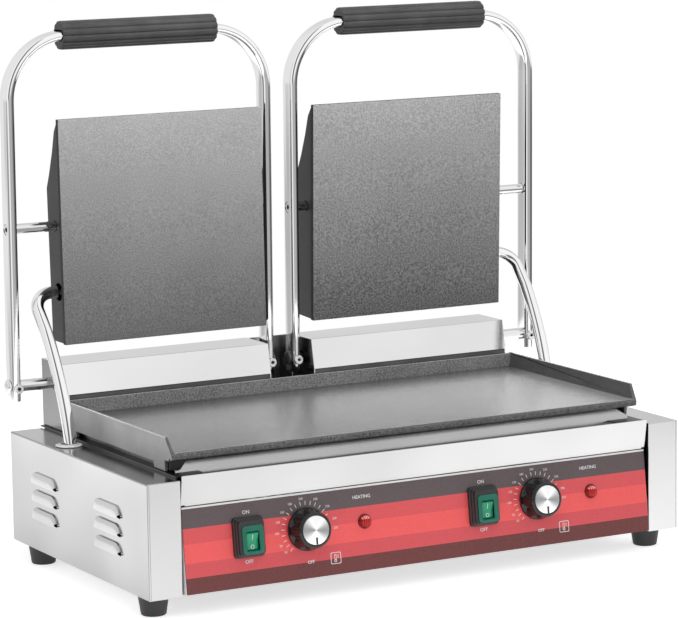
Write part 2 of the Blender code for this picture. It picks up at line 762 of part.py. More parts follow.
def chassis(base, steel):
    wall = CHASSIS_X - SHEET
    ledge_in = wall - LEDGE_W
    ledge_low = LEDGE_TOP_Z - LEDGE_T
    flange_in = CHASSIS_X - FLANGE_W
    flange_low = FLANGE_TOP_Z - SHEET
    floor_top = CHASSIS_FLOOR_Z + SHEET
    half = [
        (CHASSIS_X, CHASSIS_FLOOR_Z),
        (CHASSIS_X, FLANGE_TOP_Z),
        (flange_in, FLANGE_TOP_Z),
        (flange_in, flange_low),
        (wall, flange_low),
        (wall, LEDGE_TOP_Z),
        (ledge_in, LEDGE_TOP_Z),
        (ledge_in, ledge_low),
        (wall, ledge_low),
        (wall, floor_top),
    ]
    outline = half + [(-x, z) for x, z in reversed(half)]
    channel = prism(outline, "Y", CHASSIS_FRONT_Y, CHASSIS_BACK_Y)
    deck = box((-CHASSIS_X, CHASSIS_X), (DECK_FRONT_Y, DECK_BACK_Y), (flange_low, FLANGE_TOP_Z))
    lead_holes = [
        rod(
            LEAD_HOLE_R, "Z", flange_low - CUT_MARGIN, FLANGE_TOP_Z + CUT_MARGIN,
            (side * x, LOWER_LEAD_Y), SMALL_ROUND,
        )
        for side in (LEFT, RIGHT)
        for x in (LOWER_ELEMENT_XS[0], LOWER_ELEMENT_XS[-1])
    ]
    vents = []
    vent_y = BODY_D * FLOOR_VENT_SHARE
    for side in (LEFT, RIGHT):
        for number in range(VENT_COUNT):
            x = side * GROUP_X + (number - VENT_COUNT // 2) * VENT_PITCH
            vents.append(
                box(
                    (x - VENT_W / 2, x + VENT_W / 2),
                    (vent_y - VENT_LENGTH / 2, vent_y + VENT_LENGTH / 2),
                    (CHASSIS_FLOOR_Z - CUT_MARGIN, floor_top + CUT_MARGIN),
                )
            )
    add_part("chassis", channel, steel, base, joins=[deck], cuts=[together(lead_holes + vents)])


def rear_panel(base, steel):
    front = CHASSIS_BACK_Y + GAP
    sheet = box((-REAR_HALF_W, REAR_HALF_W), (front, front + SHEET), (CHASSIS_FLOOR_Z, REAR_TOP_Z))
    through = (front - CUT_MARGIN, front + SHEET + CUT_MARGIN)
    cuts = [rod(GLAND_NECK_R + GAP, "Y", *through, (GLAND_X, GLAND_Z))]
    for number in range(VENT_COUNT):
        x = (number - VENT_COUNT // 2) * VENT_PITCH
        cuts.append(
            box(
                (x - VENT_W / 2, x + VENT_W / 2),
                through,
                (REAR_VENT_Z - VENT_LENGTH / 2, REAR_VENT_Z + VENT_LENGTH / 2),
            )
        )
    add_part("rear_panel", sheet, steel, base, cuts=[together(cuts)])


def cable_gland(base, plastic):
    panel_front = CHASSIS_BACK_Y + GAP
    panel_back = panel_front + SHEET
    flange_y = panel_back + GAP
    profile = [
        (GLAND_BORE_R, GLAND_NUT_Y),
        (GLAND_NUT_R, GLAND_NUT_Y),
        (GLAND_NUT_R, panel_front - GAP),
        (GLAND_NECK_R, panel_front - GAP),
        (GLAND_NECK_R, flange_y),
        (GLAND_FLANGE_R, flange_y),
        (GLAND_FLANGE_R, flange_y + GLAND_FLANGE_T),
        (GLAND_BODY_R, flange_y + GLAND_FLANGE_T),
        (GLAND_BODY_R, GLAND_TAPER_Y),
        (GLAND_TIP_R, GLAND_BACK_Y),
        (GLAND_BORE_R, GLAND_BACK_Y),
    ]
    shape = turned(profile, "Y", (GLAND_X, GLAND_Z), SMALL_ROUND)
    add_part("cable_gland", shape, plastic, base, smooth=True)


def control_places():
    """The middle of each knob, switch and lamp along X, by side."""
    return {
        side: (
            side * GROUP_X,
            side * GROUP_X + SWITCH_SIDE,
            side * GROUP_X + LAMP_SIDE,
        )
        for side in (LEFT, RIGHT)
    }


def panel_holes(front, back):
    """What the collars, switch bodies and lamps pass through, between two depths."""
    holes = []
    low, high = front - CUT_MARGIN, back + CUT_MARGIN
    half_w = SWITCH_BODY_HALF_W + HOLE_CLEAR
    half_h = SWITCH_BODY_HALF_H + HOLE_CLEAR
    for knob_x, switch_x, lamp_x in control_places().values():
        holes.append(rod(COLLAR_R + HOLE_CLEAR, "Y", low, high, (knob_x, CONTROL_UP), SMALL_ROUND))
        holes.append(rod(LAMP_BODY_R + HOLE_CLEAR, "Y", low, high, (lamp_x, CONTROL_UP), SMALL_ROUND))
        holes.append(
            box(
                (switch_x - half_w, switch_x + half_w),
                (low, high),
                (CONTROL_UP - half_h, CONTROL_UP + half_h),
            )
        )
    return together(holes)


def panel_overlay(panel, foil):
    sheet = box((-OVERLAY_HALF_W, OVERLAY_HALF_W), (0, OVERLAY_T), (0, PANEL_LENGTH))
    add_part("panel_overlay", sheet, foil, panel, cuts=[panel_holes(0, OVERLAY_T)])


def front_panel(panel, steel):
    back = PANEL_BACK + PANEL_RETURN
    outline = [
        (PANEL_FRONT, 0),
        (back, 0),
        (back, SHEET),
        (PANEL_BACK, SHEET),
        (PANEL_BACK, PANEL_LENGTH - SHEET),
        (back, PANEL_LENGTH - SHEET),
        (back, PANEL_LENGTH),
        (PANEL_FRONT, PANEL_LENGTH),
    ]
    sheet = prism(outline, "X", -PANEL_HALF_W, PANEL_HALF_W)
    add_part("front_panel", sheet, steel, panel, cuts=[panel_holes(PANEL_FRONT, PANEL_BACK)])


def thermostat(side, x, panel, plastic):
    profile = [
        (0, THERMOSTAT_BORE_END),
        (THERMOSTAT_BORE_R, THERMOSTAT_BORE_END),
        (THERMOSTAT_BORE_R, -COLLAR_FRONT),
        (COLLAR_R, -COLLAR_FRONT),
        (COLLAR_R, BEHIND_PANEL),
        (THERMOSTAT_R, BEHIND_PANEL),
        (THERMOSTAT_R, THERMOSTAT_DEPTH),
        (0, THERMOSTAT_DEPTH),
    ]
    shape = turned(profile, "Y", (x, CONTROL_UP))
    add_part(f"thermostat_{SIDE_NAMES[side]}", shape, plastic, panel, smooth=True)


def knob_ring(radius, out, scallop=0.0):
    """One ring of the knob. A scallop is how deep the hollows between its ribs are."""
    ring = []
    count = KNOB_SCALLOPS * 4
    for i in range(count):
        angle = 2 * math.pi * i / count
        wave = (1 - math.cos(KNOB_SCALLOPS * angle)) / 2
        reach = radius - scallop * wave
        ring.append((reach * math.sin(angle), -out, -reach * math.cos(angle)))
    return ring


def knob(side, axis, plastic, silver, steel):
    name = SIDE_NAMES[side]
    rings = [
        knob_ring(KNOB_BORE_R, KNOB_BORE_END),
        knob_ring(KNOB_BORE_R, KNOB_OFF_PANEL),
        knob_ring(KNOB_BASE_R, KNOB_OFF_PANEL),
        knob_ring(KNOB_BASE_R, KNOB_SKIRT),
        knob_ring(KNOB_WAIST_R, KNOB_SCALLOP_START, KNOB_SCALLOP),
        knob_ring(KNOB_FRONT_R, KNOB_SCALLOP_END, KNOB_SCALLOP),
        knob_ring(KNOB_FRONT_R, KNOB_SHOULDER),
        knob_ring(KNOB_RIM_R, KNOB_FRONT),
        knob_ring(CAP_R + GAP, KNOB_FRONT),
        knob_ring(CAP_R + GAP, CAP_FRONT - CAP_T - GAP),
    ]
    add_part(f"knob_{name}", loft(rings), plastic, axis, smooth=True)
    front = -CAP_FRONT
    levels = [(CAP_R, front + CAP_T), (CAP_R, front + CAP_CHAMFER), (CAP_R - CAP_CHAMFER, front)]
    rings = []
    for radius, level in levels:
        outline = circle(radius, 2 * ROUND, turn=-math.pi / 2)
        rings.append([(a, level, b) for a, b in outline])
    add_part(f"knob_cap_{name}", loft(rings), silver, axis, smooth=True)
    spindle = rod(SPINDLE_R, "Y", -SPINDLE_FRONT, SPINDLE_BACK, (0, 0), SMALL_ROUND)
    add_part(f"thermostat_spindle_{name}", spindle, steel, axis, smooth=True)


def switch_body(side, x, panel, plastic):
    rings = []
    for out_share, width_share in HOOD_SHARES:
        half_w, half_h = HOOD_HALF_W * width_share, HOOD_HALF_H * width_share
        outline = rounded_rectangle(half_w, half_h, HOOD_CORNER_SHARE * half_w)
        rings.append([(x + a, -HOOD_OUT * out_share, CONTROL_UP + b) for a, b in outline])
    body = box(
        (x - SWITCH_BODY_HALF_W, x + SWITCH_BODY_HALF_W),
        (-HOOD_OUT / 2, SWITCH_BODY_DEPTH),
        (CONTROL_UP - SWITCH_BODY_HALF_H, CONTROL_UP + SWITCH_BODY_HALF_H),
    )
    pocket_half = ROCKER_HALF_W + POCKET_CLEAR
    pocket = rod(
        ROCKER_R + POCKET_CLEAR, "X", x - pocket_half, x + pocket_half,
        (-ROCKER_AXIS_OUT, CONTROL_UP), ROUND + SMALL_ROUND,
    )
    name = f"switch_body_{SIDE_NAMES[side]}"
    add_part(name, loft(rings), plastic, panel, joins=[body], cuts=[pocket])


def rocker(side, axis, plastic):
    """A rocker whose ends lie on a circle about its axis, so that it turns inside a round pocket."""
    def on_circle(degrees, sign):
        angle = math.radians(degrees)
        return (-ROCKER_R * math.sin(angle), sign * ROCKER_R * math.cos(angle))

    steps = 6
    degrees = [
        ROCKER_EDGE_DEG + (ROCKER_BACK_DEG - ROCKER_EDGE_DEG) * i / steps for i in range(steps + 1)
    ]
    outline = [on_circle(d, 1) for d in degrees]
    outline += [on_circle(d, -1) for d in reversed(degrees)]
    outline.append((-ROCKER_MIDDLE, 0))
    shape = prism(outline, "X", -ROCKER_HALF_W, ROCKER_HALF_W)
    add_part(f"rocker_{SIDE_NAMES[side]}", shape, plastic, axis, smooth=True)


def pilot_lamp(side, x, panel, red):
    profile = [
        (0, LAMP_DEPTH),
        (LAMP_BODY_R, LAMP_DEPTH),
        (LAMP_BODY_R, -GAP),
        (LAMP_BEZEL_R, -GAP),
        (LAMP_BEZEL_R, -LAMP_BEZEL_OUT),
        (LAMP_LENS_R, -LAMP_BEZEL_OUT),
        (LAMP_SHOULDER_R, -LAMP_SHOULDER_OUT),
        (LAMP_TIP_R, -LAMP_TIP_OUT),
        (0, -LAMP_TIP_OUT),
    ]
    shape = turned(profile, "Y", (x, CONTROL_UP), SMALL_ROUND)
    add_part(f"pilot_lamp_{SIDE_NAMES[side]}", shape, red, panel)


def drip_tray(axis, steel):
    """The tray, in a frame whose zero is that of the build frame."""
    outer = box((-TRAY_HALF_W, TRAY_HALF_W), (TRAY_START_Y, TRAY_BACK_Y), (TRAY_BOTTOM_Z, TRAY_RIM_Z))
    inner = box(
        (-TRAY_HALF_W + TRAY_SHEET, TRAY_HALF_W - TRAY_SHEET),
        (TRAY_START_Y + 2 * TRAY_SHEET, TRAY_BACK_Y - TRAY_SHEET),
        (TRAY_BOTTOM_Z + TRAY_SHEET, TRAY_RIM_Z + CUT_MARGIN),
    )
    outline = [
        (TRAY_TOP_Y, TRAY_TOP_Z),
        (TRAY_TOP_Y + SHEET, TRAY_TOP_Z),
        (TRAY_LOW_Y + SHEET, TRAY_LOW_Z),
        (TRAY_LOW_Y, TRAY_LOW_Z),
    ]
    front = prism(outline, "X", -TRAY_FRONT_HALF_W, TRAY_FRONT_HALF_W)
    add_part("drip_tray", outer, steel, axis, joins=[front], cuts=[inner])


def front_baffle(base, steel):
    outline = [
        (-BAFFLE_LOW_HALF_W, REST_Z),
        (BAFFLE_LOW_HALF_W, REST_Z),
        (BAFFLE_LOW_HALF_W, BAFFLE_SHOULDER_Z),
        (BAFFLE_TOP_HALF_W, BAFFLE_TOP_Z),
        (-BAFFLE_TOP_HALF_W, BAFFLE_TOP_Z),
        (-BAFFLE_LOW_HALF_W, BAFFLE_SHOULDER_Z),
    ]
    face = prism(outline, "Y", BAFFLE_Y, BAFFLE_Y + SHEET)
    sill = box(
        (-BAFFLE_FOOT_HALF_W, BAFFLE_FOOT_HALF_W),
        (BAFFLE_Y + SHEET / 2, BAFFLE_FOOT_BACK_Y),
        (REST_Z, REST_Z + SHEET),
    )
    add_part("front_baffle", face, steel, base, joins=[sill])


def heat_shield(base, steel):
    inner = SHIELD_HALF_W - SHIELD_SHEET
    floor_top = REST_Z + SHIELD_SHEET
    outline = [
        (-SHIELD_HALF_W, REST_Z),
        (SHIELD_HALF_W, REST_Z),
        (SHIELD_HALF_W, SHIELD_EDGE_Z),
        (inner, SHIELD_EDGE_Z),
        (inner, floor_top),
        (-inner, floor_top),
        (-inner, SHIELD_EDGE_Z),
        (-SHIELD_HALF_W, SHIELD_EDGE_Z),
    ]
    add_part("heat_shield", prism(outline, "Y", SHIELD_FRONT_Y, SHIELD_BACK_Y), steel, base)


def griddle_plate(base, iron):
    half = [
        (SKIRT_OUT_X, REST_Z),
        (WALL_OUT_X, WALL_TOP_Z),
        (WALL_IN_X, WALL_TOP_Z),
        (SURFACE_HALF_W, SURFACE_Z),
    ]
    under = [(SKIRT_IN_X, UNDERSIDE_Z), (SKIRT_IN_X, REST_Z)]
    outline = (
        half
        + [(-x, z) for x, z in reversed(half)]
        + [(-x, z) for x, z in reversed(under)]
        + under
    )
    body = prism(outline, "Y", GRIDDLE_FRONT_Y, GRIDDLE_BACK_Y)
    back_wall = box(
        (-WALL_IN_X, WALL_IN_X),
        (BACK_WALL_Y, GRIDDLE_BACK_Y),
        ((UNDERSIDE_Z + SURFACE_Z) / 2, BACK_WALL_TOP_Z),
    )
    reach = WALL_OUT_X + CUT_MARGIN
    before = GRIDDLE_FRONT_Y - CUT_MARGIN
    under_lip = [
        (before, REST_Z - CUT_MARGIN),
        (LEG_FRONT_Y, REST_Z - CUT_MARGIN),
        (LEG_FRONT_Y, UNDERSIDE_Z),
        (LIP_ROOT_Y, UNDERSIDE_Z),
        (GRIDDLE_FRONT_Y, LIP_LOW_Z),
        (before, LIP_LOW_Z),
    ]
    wall_ends = [
        (before, LIP_TOP_Z),
        (GRIDDLE_FRONT_Y, LIP_TOP_Z),
        (WALL_START_Y, WALL_TOP_Z),
        (WALL_START_Y, WALL_TOP_Z + CUT_MARGIN),
        (before, WALL_TOP_Z + CUT_MARGIN),
    ]
    between_legs = box((-reach, reach), (LEG_END_Y, BACK_LEG_Y), (REST_Z - CUT_MARGIN, SKIRT_Z))
    add_part(
        "griddle_plate",
        body,
        iron,
        base,
        joins=[back_wall],
        cuts=[
            prism(under_lip, "X", -reach, reach),
            prism(wall_ends, "X", -reach, reach),
            between_legs,
        ],
    )


def lower_element(side, base, steel):
    z = LOWER_ELEMENT_Z
    a, b, c, d = LOWER_ELEMENT_XS
    corners = [
        (a, LOWER_LEAD_Y, LOWER_LEAD_Z),
        (a, LOWER_LEAD_Y, z),
        (a, LOWER_ELEMENT_FRONT_Y, z),
        (b, LOWER_ELEMENT_FRONT_Y, z),
        (b, LOWER_ELEMENT_TURN_Y, z),
        (c, LOWER_ELEMENT_TURN_Y, z),
        (c, LOWER_ELEMENT_FRONT_Y, z),
        (d, LOWER_ELEMENT_FRONT_Y, z),
        (d, LOWER_LEAD_Y, z),
        (d, LOWER_LEAD_Y, LOWER_LEAD_Z),
    ]
    shape = tube(rounded_path(corners, BEND_R, steps=3), LOWER_ELEMENT_R, 6)
    name = f"lower_element_{SIDE_NAMES[side]}"
    add_part(name, sided(shape, side), steel, base, smooth=True)


def rear_housing(side, base, steel):
    outline = [
        (HOUSING_FRONT_Y, REST_Z),
        (HOUSING_FRONT_Y, HOUSING_FACE_Z),
        (HOUSING_TOP_Y, HOUSING_TOP_Z),
        (HOUSING_BACK_Y, HOUSING_TOP_Z),
        (HOUSING_BACK_Y, REST_Z),
    ]
    inner = inset(outline, SHEET)
    low = REST_Z - CUT_MARGIN
    inner[0] = (inner[0][0], low)
    inner[-1] = (inner[-1][0], low)
    shell = prism(outline, "X", HOUSING_IN_X, HOUSING_OUT_X)
    hollow = prism(inner, "X", HOUSING_IN_X + SHEET, HOUSING_OUT_X - SHEET)
    mouth = box(
        (HOUSING_IN_X + SHEET, HOUSING_OUT_X - SHEET),
        (HOUSING_FRONT_Y - CUT_MARGIN, HOUSING_FRONT_Y + 2 * SHEET),
        (low, HOUSING_FACE_Z),
    )
    bore = rod(
        SHAFT_R + HOLE_CLEAR, "X", HOUSING_IN_X - CUT_MARGIN, HOUSING_OUT_X + CUT_MARGIN,
        (PIVOT_Y, PIVOT_Z),
    )
    add_part(
        f"rear_housing_{SIDE_NAMES[side]}",
        sided(shell, side),
        steel,
        base,
        cuts=[sided(hollow, side), sided(mouth, side), sided(bore, side)],
    )


def centre_back_plate(base, steel):
    outline = [
        (BACK_PLATE_FOOT_Y, REST_Z),
        (BACK_PLATE_Y + SHEET, REST_Z),
        (BACK_PLATE_Y + SHEET, BACK_PLATE_TOP_Z),
        (BACK_PLATE_Y, BACK_PLATE_TOP_Z),
        (BACK_PLATE_Y, REST_Z + SHEET),
        (BACK_PLATE_FOOT_Y, REST_Z + SHEET),
    ]
    half = HOUSING_IN_X - GAP
    add_part("centre_back_plate", prism(outline, "X", -half, half), steel, base)


def hinge_bracket(side, base, steel):
    floor_top = REST_Z + BRACKET_T
    outline = [
        (BRACKET_IN_X, REST_Z),
        (BRACKET_OUT_X, REST_Z),
        (BRACKET_OUT_X, BRACKET_TOP_Z),
        (BRACKET_OUT_X - BRACKET_T, BRACKET_TOP_Z),
        (BRACKET_OUT_X - BRACKET_T, floor_top),
        (BRACKET_IN_X + BRACKET_T, floor_top),
        (BRACKET_IN_X + BRACKET_T, BRACKET_TOP_Z),
        (BRACKET_IN_X, BRACKET_TOP_Z),
    ]
    body = prism(outline, "Y", BRACKET_FRONT_Y, BRACKET_BACK_Y)
    middle = (PIVOT_Y, PIVOT_Z)
    bushes = together(
        [
            rod(BUSH_R, "X", x - BUSH_OVER, x + BRACKET_T + BUSH_OVER, middle)
            for x in (BRACKET_IN_X, BRACKET_OUT_X - BRACKET_T)
        ]
    )
    bore = rod(
        SHAFT_R + GAP, "X", BRACKET_IN_X - 2 * CUT_MARGIN, BRACKET_OUT_X + 2 * CUT_MARGIN, middle
    )
    add_part(
        f"hinge_bracket_{SIDE_NAMES[side]}",
        sided(body, side),
        steel,
        base,
        joins=[sided(bushes, side)],
        cuts=[sided(bore, side)],
    )


def torsion_spring(side, base, steel):
    foot_z = REST_Z + BRACKET_T + GAP
    path = [Vector((SPRING_X, PIVOT_Y + SPRING_R, foot_z))]
    for i in range(SPRING_STEPS + 1):
        angle = 2 * math.pi * SPRING_TURNS * i / SPRING_STEPS
        path.append(
            Vector(
                (
                    SPRING_X + SPRING_PITCH * angle / (2 * math.pi),
                    PIVOT_Y + SPRING_R * math.cos(angle),
                    PIVOT_Z + SPRING_R * math.sin(angle),
                )
            )
        )
    path.append(path[-1] + Vector((0, -SPRING_ARM, 0)))
    name = f"torsion_spring_{SIDE_NAMES[side]}"
    add_part(name, sided(tube(path, SPRING_WIRE_R, 5), side), steel, base, smooth=True)


def conduit_washer(side, base, plastic):
    low, high = BODY_H + GAP, BODY_H + GAP + WASHER_T
    profile = [
        (WASHER_BORE_R, low),
        (WASHER_R, low),
        (WASHER_R, high - WASHER_CHAMFER),
        (WASHER_R - WASHER_CHAMFER, high),
        (WASHER_BORE_R, high),
    ]
    shape = turned(profile, "Z", (CONDUIT_HOLE_X, CONDUIT_HOLE_Y))
    add_part(f"conduit_washer_{SIDE_NAMES[side]}", sided(shape, side), plastic, base, smooth=True)


def lid_frame(side, lid, steel):
    path = rounded_path(
        [
            (OUTER_LEG_X, 0, -LEG_DROP),
            (OUTER_LEG_X, 0, LID_TOP),
            (INNER_LEG_X, 0, LID_TOP),
            (INNER_LEG_X, 0, -LEG_DROP),
        ],
        LID_CORNER_R,
        steps=7,
    )
    outer = stadium(TUBE_W / 2, TUBE_D / 2)
    inner = stadium(TUBE_W / 2 - TUBE_WALL, TUBE_D / 2 - TUBE_WALL)
    low, high = INNER_LEG_X - 2 * TUBE_W, OUTER_LEG_X + 2 * TUBE_W
    cuts = [
        rod(SHAFT_R + GAP, "X", low, high, (0, 0)),
        rod(AXLE_R + GAP, "X", low, high, (0, AXLE_UP)),
    ]
    bolt_holes = [
        rod(BOLT_SHANK_R + GAP, "Y", -TUBE_D, -TUBE_D / 2 + 2 * TUBE_WALL, (x, 0), SMALL_ROUND)
        for x in (INNER_LEG_X, OUTER_LEG_X)
    ]
    add_part(
        f"lid_frame_{SIDE_NAMES[side]}",
        sided(pipe_of(path, outer, inner), side),
        steel,
        lid,
        cuts=[sided(cut, side) for cut in [*cuts, together(bolt_holes)]],
        smooth=True,
    )


def grip(side, lid, rubber):
    """A grooved sleeve on the top of the lid frame."""
    outline = []
    per_facet = 3
    count = GRIP_FACETS * per_facet
    for i in range(count):
        angle = 2 * math.pi * i / count
        depth = GRIP_GROOVE if i % per_facet == 0 else 0
        outline.append(
            (
                (GRIP_HALF_Y - depth) * math.cos(angle),
                LID_TOP + (GRIP_HALF_Z - depth) * math.sin(angle),
            )
        )
    low = LID_MIDDLE_X - GRIP_LENGTH / 2
    high = LID_MIDDLE_X + GRIP_LENGTH / 2
    hole = stadium(TUBE_W / 2 + GRIP_BORE_CLEAR, TUBE_D / 2 + GRIP_BORE_CLEAR)
    bore = prism([(b, LID_TOP + a) for a, b in hole], "X", low - CUT_MARGIN, high + CUT_MARGIN)
    sleeve = prism(outline, "X", low, high)
    name = f"grip_{SIDE_NAMES[side]}"
    add_part(name, sided(sleeve, side), rubber, lid, cuts=[sided(bore, side)])


def pivot_shaft(side, lid, steel):
    inner = INNER_LEG_X - TUBE_W / 2 - GAP
    outer = OUTER_LEG_X + TUBE_W / 2 + GAP
    profile = [
        (0, inner - HEAD_T),
        (HEAD_DOME_R, inner - HEAD_T),
        (HEAD_R, inner - HEAD_RIM_T),
        (HEAD_R, inner),
        (SHAFT_R, inner),
        (SHAFT_R, outer),
        (HEAD_R, outer),
        (HEAD_R, outer + HEAD_RIM_T),
        (HEAD_DOME_R, outer + HEAD_T),
        (0, outer + HEAD_T),
    ]
    bolt_holes = [
        rod(BOLT_SHANK_R + GAP, "Y", -2 * SHAFT_R, 0, (x, 0), SMALL_ROUND)
        for x in (INNER_LEG_X, OUTER_LEG_X)
    ]
    add_part(
        f"pivot_shaft_{SIDE_NAMES[side]}",
        sided(turned(profile, "X", (0, 0)), side),
        steel,
        lid,
        cuts=[sided(together(bolt_holes), side)],
        smooth=True,
    )


def leg_bolt(side, which, x, lid, steel):
    head_back = -TUBE_D / 2 - GAP
    head_front = head_back - BOLT_HEAD_T
    socket_y = head_front + BOLT_SOCKET_DEPTH
    profile = [
        (0, socket_y),
        (BOLT_SOCKET_R, socket_y),
        (BOLT_SOCKET_R, head_front),
        (BOLT_HEAD_R, head_front),
        (BOLT_HEAD_R, head_back),
        (BOLT_SHANK_R, head_back),
        (BOLT_SHANK_R, BOLT_TIP_Y),
        (0, BOLT_TIP_Y),
    ]
    shape = turned(profile, "Y", (x, 0), 12)
    add_part(f"leg_bolt_{which}_{SIDE_NAMES[side]}", sided(shape, side), steel, lid, smooth=True)


def plate_axle(side, lid, steel):
    low = INNER_LEG_X - TUBE_W / 2 + AXLE_RECESS
    high = OUTER_LEG_X + TUBE_W / 2 - AXLE_RECESS
    middle = (0, AXLE_UP)
    bar = rod(AXLE_R, "X", low, high, middle)
    sockets = together(
        [
            prism(circle(AXLE_SOCKET_R, 6, middle), "X", start, end)
            for start, end in (
                (low - CUT_MARGIN, low + AXLE_SOCKET_DEPTH),
                (high - AXLE_SOCKET_DEPTH, high + CUT_MARGIN),
            )
        ]
    )
    name = f"plate_axle_{SIDE_NAMES[side]}"
    add_part(name, sided(bar, side), steel, lid, cuts=[sided(sockets, side)], smooth=True)


def upper_plate(side, plate, iron):
    rim = box((PLATE_IN_X, PLATE_OUT_X), (PLATE_FRONT_Y, PLATE_RIM_BACK_Y), (PLATE_BOTTOM, PLATE_TOP))
    pad = box(
        (PLATE_IN_X + PLATE_PAD_INSET, PLATE_OUT_X - PLATE_PAD_INSET),
        ((PLATE_FRONT_Y + PLATE_RIM_BACK_Y) / 2, PLATE_BACK_Y),
        (PLATE_BOTTOM + PLATE_PAD_END_INSET, PLATE_TOP - PLATE_PAD_END_INSET),
    )
    steps = 8
    angles = [math.pi / 2 - math.pi * i / steps for i in range(steps + 1)]
    back = [(LUG_R * math.cos(angle), LUG_R * math.sin(angle)) for angle in angles]
    root_y = (PLATE_RIM_BACK_Y + PLATE_BACK_Y) / 2
    outline = [(root_y, LUG_HALF_H), *back, (root_y, -LUG_HALF_H)]
    lugs = together([prism(outline, "X", x - LUG_T / 2, x + LUG_T / 2) for x in LUG_XS])
    bore = rod(AXLE_R + GAP, "X", LUG_XS[0] - LUG_T, LUG_XS[1] + LUG_T, (0, 0))
    add_part(
        f"upper_plate_{SIDE_NAMES[side]}",
        sided(rim, side),
        iron,
        plate,
        joins=[sided(pad, side), sided(lugs, side)],
        cuts=[sided(bore, side)],
    )


def plate_cover(side, plate, steel):
    depth = COVER_BACK_Y - COVER_FRONT_Y
    slope = COVER_TOP - COVER_SHOULDER
    outline = [
        (COVER_FRONT_Y, COVER_TOP),
        *((COVER_FRONT_Y + depth * y, COVER_SHOULDER + slope * z) for y, z in COVER_SLOPE_SHARES),
        (COVER_BACK_Y, COVER_SHOULDER),
        (COVER_BACK_LOW_Y, COVER_HEEL),
        (COVER_FRONT_Y, COVER_BOTTOM),
    ]
    inner = inset(outline, SHEET)
    open_y = outline[0][0] - CUT_MARGIN
    inner = [(open_y, inner[0][1]), *inner, (open_y, inner[-1][1])]
    low, high = PLATE_IN_X + COVER_INSET, PLATE_OUT_X - COVER_INSET
    shell = prism(outline, "X", low, high)
    hollow = prism(inner, "X", low + SHEET, high - SHEET)
    axle_holes = rod(AXLE_R + HOLE_CLEAR, "X", low - CUT_MARGIN, high + CUT_MARGIN, (0, 0))
    conduit_hole = rod(
        COVER_HOLE_R, "X", high - 2 * SHEET, high + CUT_MARGIN,
        (CONDUIT_ENTRY_Y, CONDUIT_ENTRY_Z - AXLE_UP),
    )
    add_part(
        f"plate_cover_{SIDE_NAMES[side]}",
        sided(shell, side),
        steel,
        plate,
        cuts=[sided(cut, side) for cut in (hollow, axle_holes, conduit_hole)],
    )


def upper_element(side, plate, steel):
    y = UPPER_ELEMENT_Y
    inner, outer = UPPER_ELEMENT_IN_X, UPPER_ELEMENT_OUT_X
    high_end, low_end = UPPER_ELEMENT_ENDS
    corners = [
        (inner, UPPER_ELEMENT_TAIL_Y, high_end),
        (inner, y, high_end),
        (inner, y, UPPER_ELEMENT_TOP),
        (outer, y, UPPER_ELEMENT_TOP),
        (outer, y, UPPER_ELEMENT_LOW),
        (inner, y, UPPER_ELEMENT_LOW),
        (inner, y, low_end),
        (inner, UPPER_ELEMENT_TAIL_Y, low_end),
    ]
    shape = tube(rounded_path(corners, BEND_R, steps=3), UPPER_ELEMENT_R, 6)
    name = f"upper_element_{SIDE_NAMES[side]}"
    add_part(name, sided(shape, side), steel, plate, smooth=True)


def turn_yz(vector, angle):
    """A (Y, Z) vector turned about X."""
    c, s = math.cos(angle), math.sin(angle)
    return Vector((c * vector[0] - s * vector[1], s * vector[0] + c * vector[1]))


def conduit_entry():
    """Where the conduit enters its cover, as (Y, Z) in the build frame with the lid open."""
    lean = math.radians(LID_LEAN_DEG)
    return Vector((PIVOT_Y, PIVOT_Z)) + turn_yz((CONDUIT_ENTRY_Y, CONDUIT_ENTRY_Z), lean)


def conduit_curve():
    """The (Y, Z) line that slides through the casing hole as the lid closes, from the hole upwards.

    The lid turns by an angle, the conduit by CONDUIT_SHARE of it, and each point of the line is the
    point of the conduit that is in the hole at one angle.
    """
    pivot = Vector((PIVOT_Y, PIVOT_Z))
    hole = Vector((CONDUIT_HOLE_Y, CONDUIT_HOLE_Z))
    entry = conduit_entry()
    closing = math.radians(90 - LID_LEAN_DEG)
    line = []
    for i in range(CONDUIT_STEPS):
        angle = closing * i / (CONDUIT_STEPS - 1)
        entry_now = pivot + turn_yz(entry - pivot, angle)
        line.append(entry + turn_yz(hole - entry_now, -CONDUIT_SHARE * angle))
    return line


def conduit(side, axis, steel):
    """The conduit, in a frame on the X axis through its entry."""
    entry = conduit_entry()
    line = conduit_curve()
    tail = line[0] + (line[0] - line[1]).normalized() * CONDUIT_TAIL
    span = entry.y - line[0].y
    points = []
    for place in [tail, *line]:
        share = (place.y - line[0].y) / span
        x = CONDUIT_LOW_X + (CONDUIT_TOP_X - CONDUIT_LOW_X) * share
        points.append(Vector((x, place.x - entry.x, place.y - entry.y)))
    corner = Vector((CONDUIT_TOP_X, 0, 0))
    inside = Vector((PLATE_OUT_X - COVER_INSET - CONDUIT_INSIDE, 0, 0))
    bend = rounded_path([points[-1], corner, inside], CONDUIT_BEND_R, steps=6)
    shape = tube(points + bend[1:], CONDUIT_R, 12)
    add_part(f"conduit_{SIDE_NAMES[side]}", sided(shape, side), steel, axis, smooth=True)


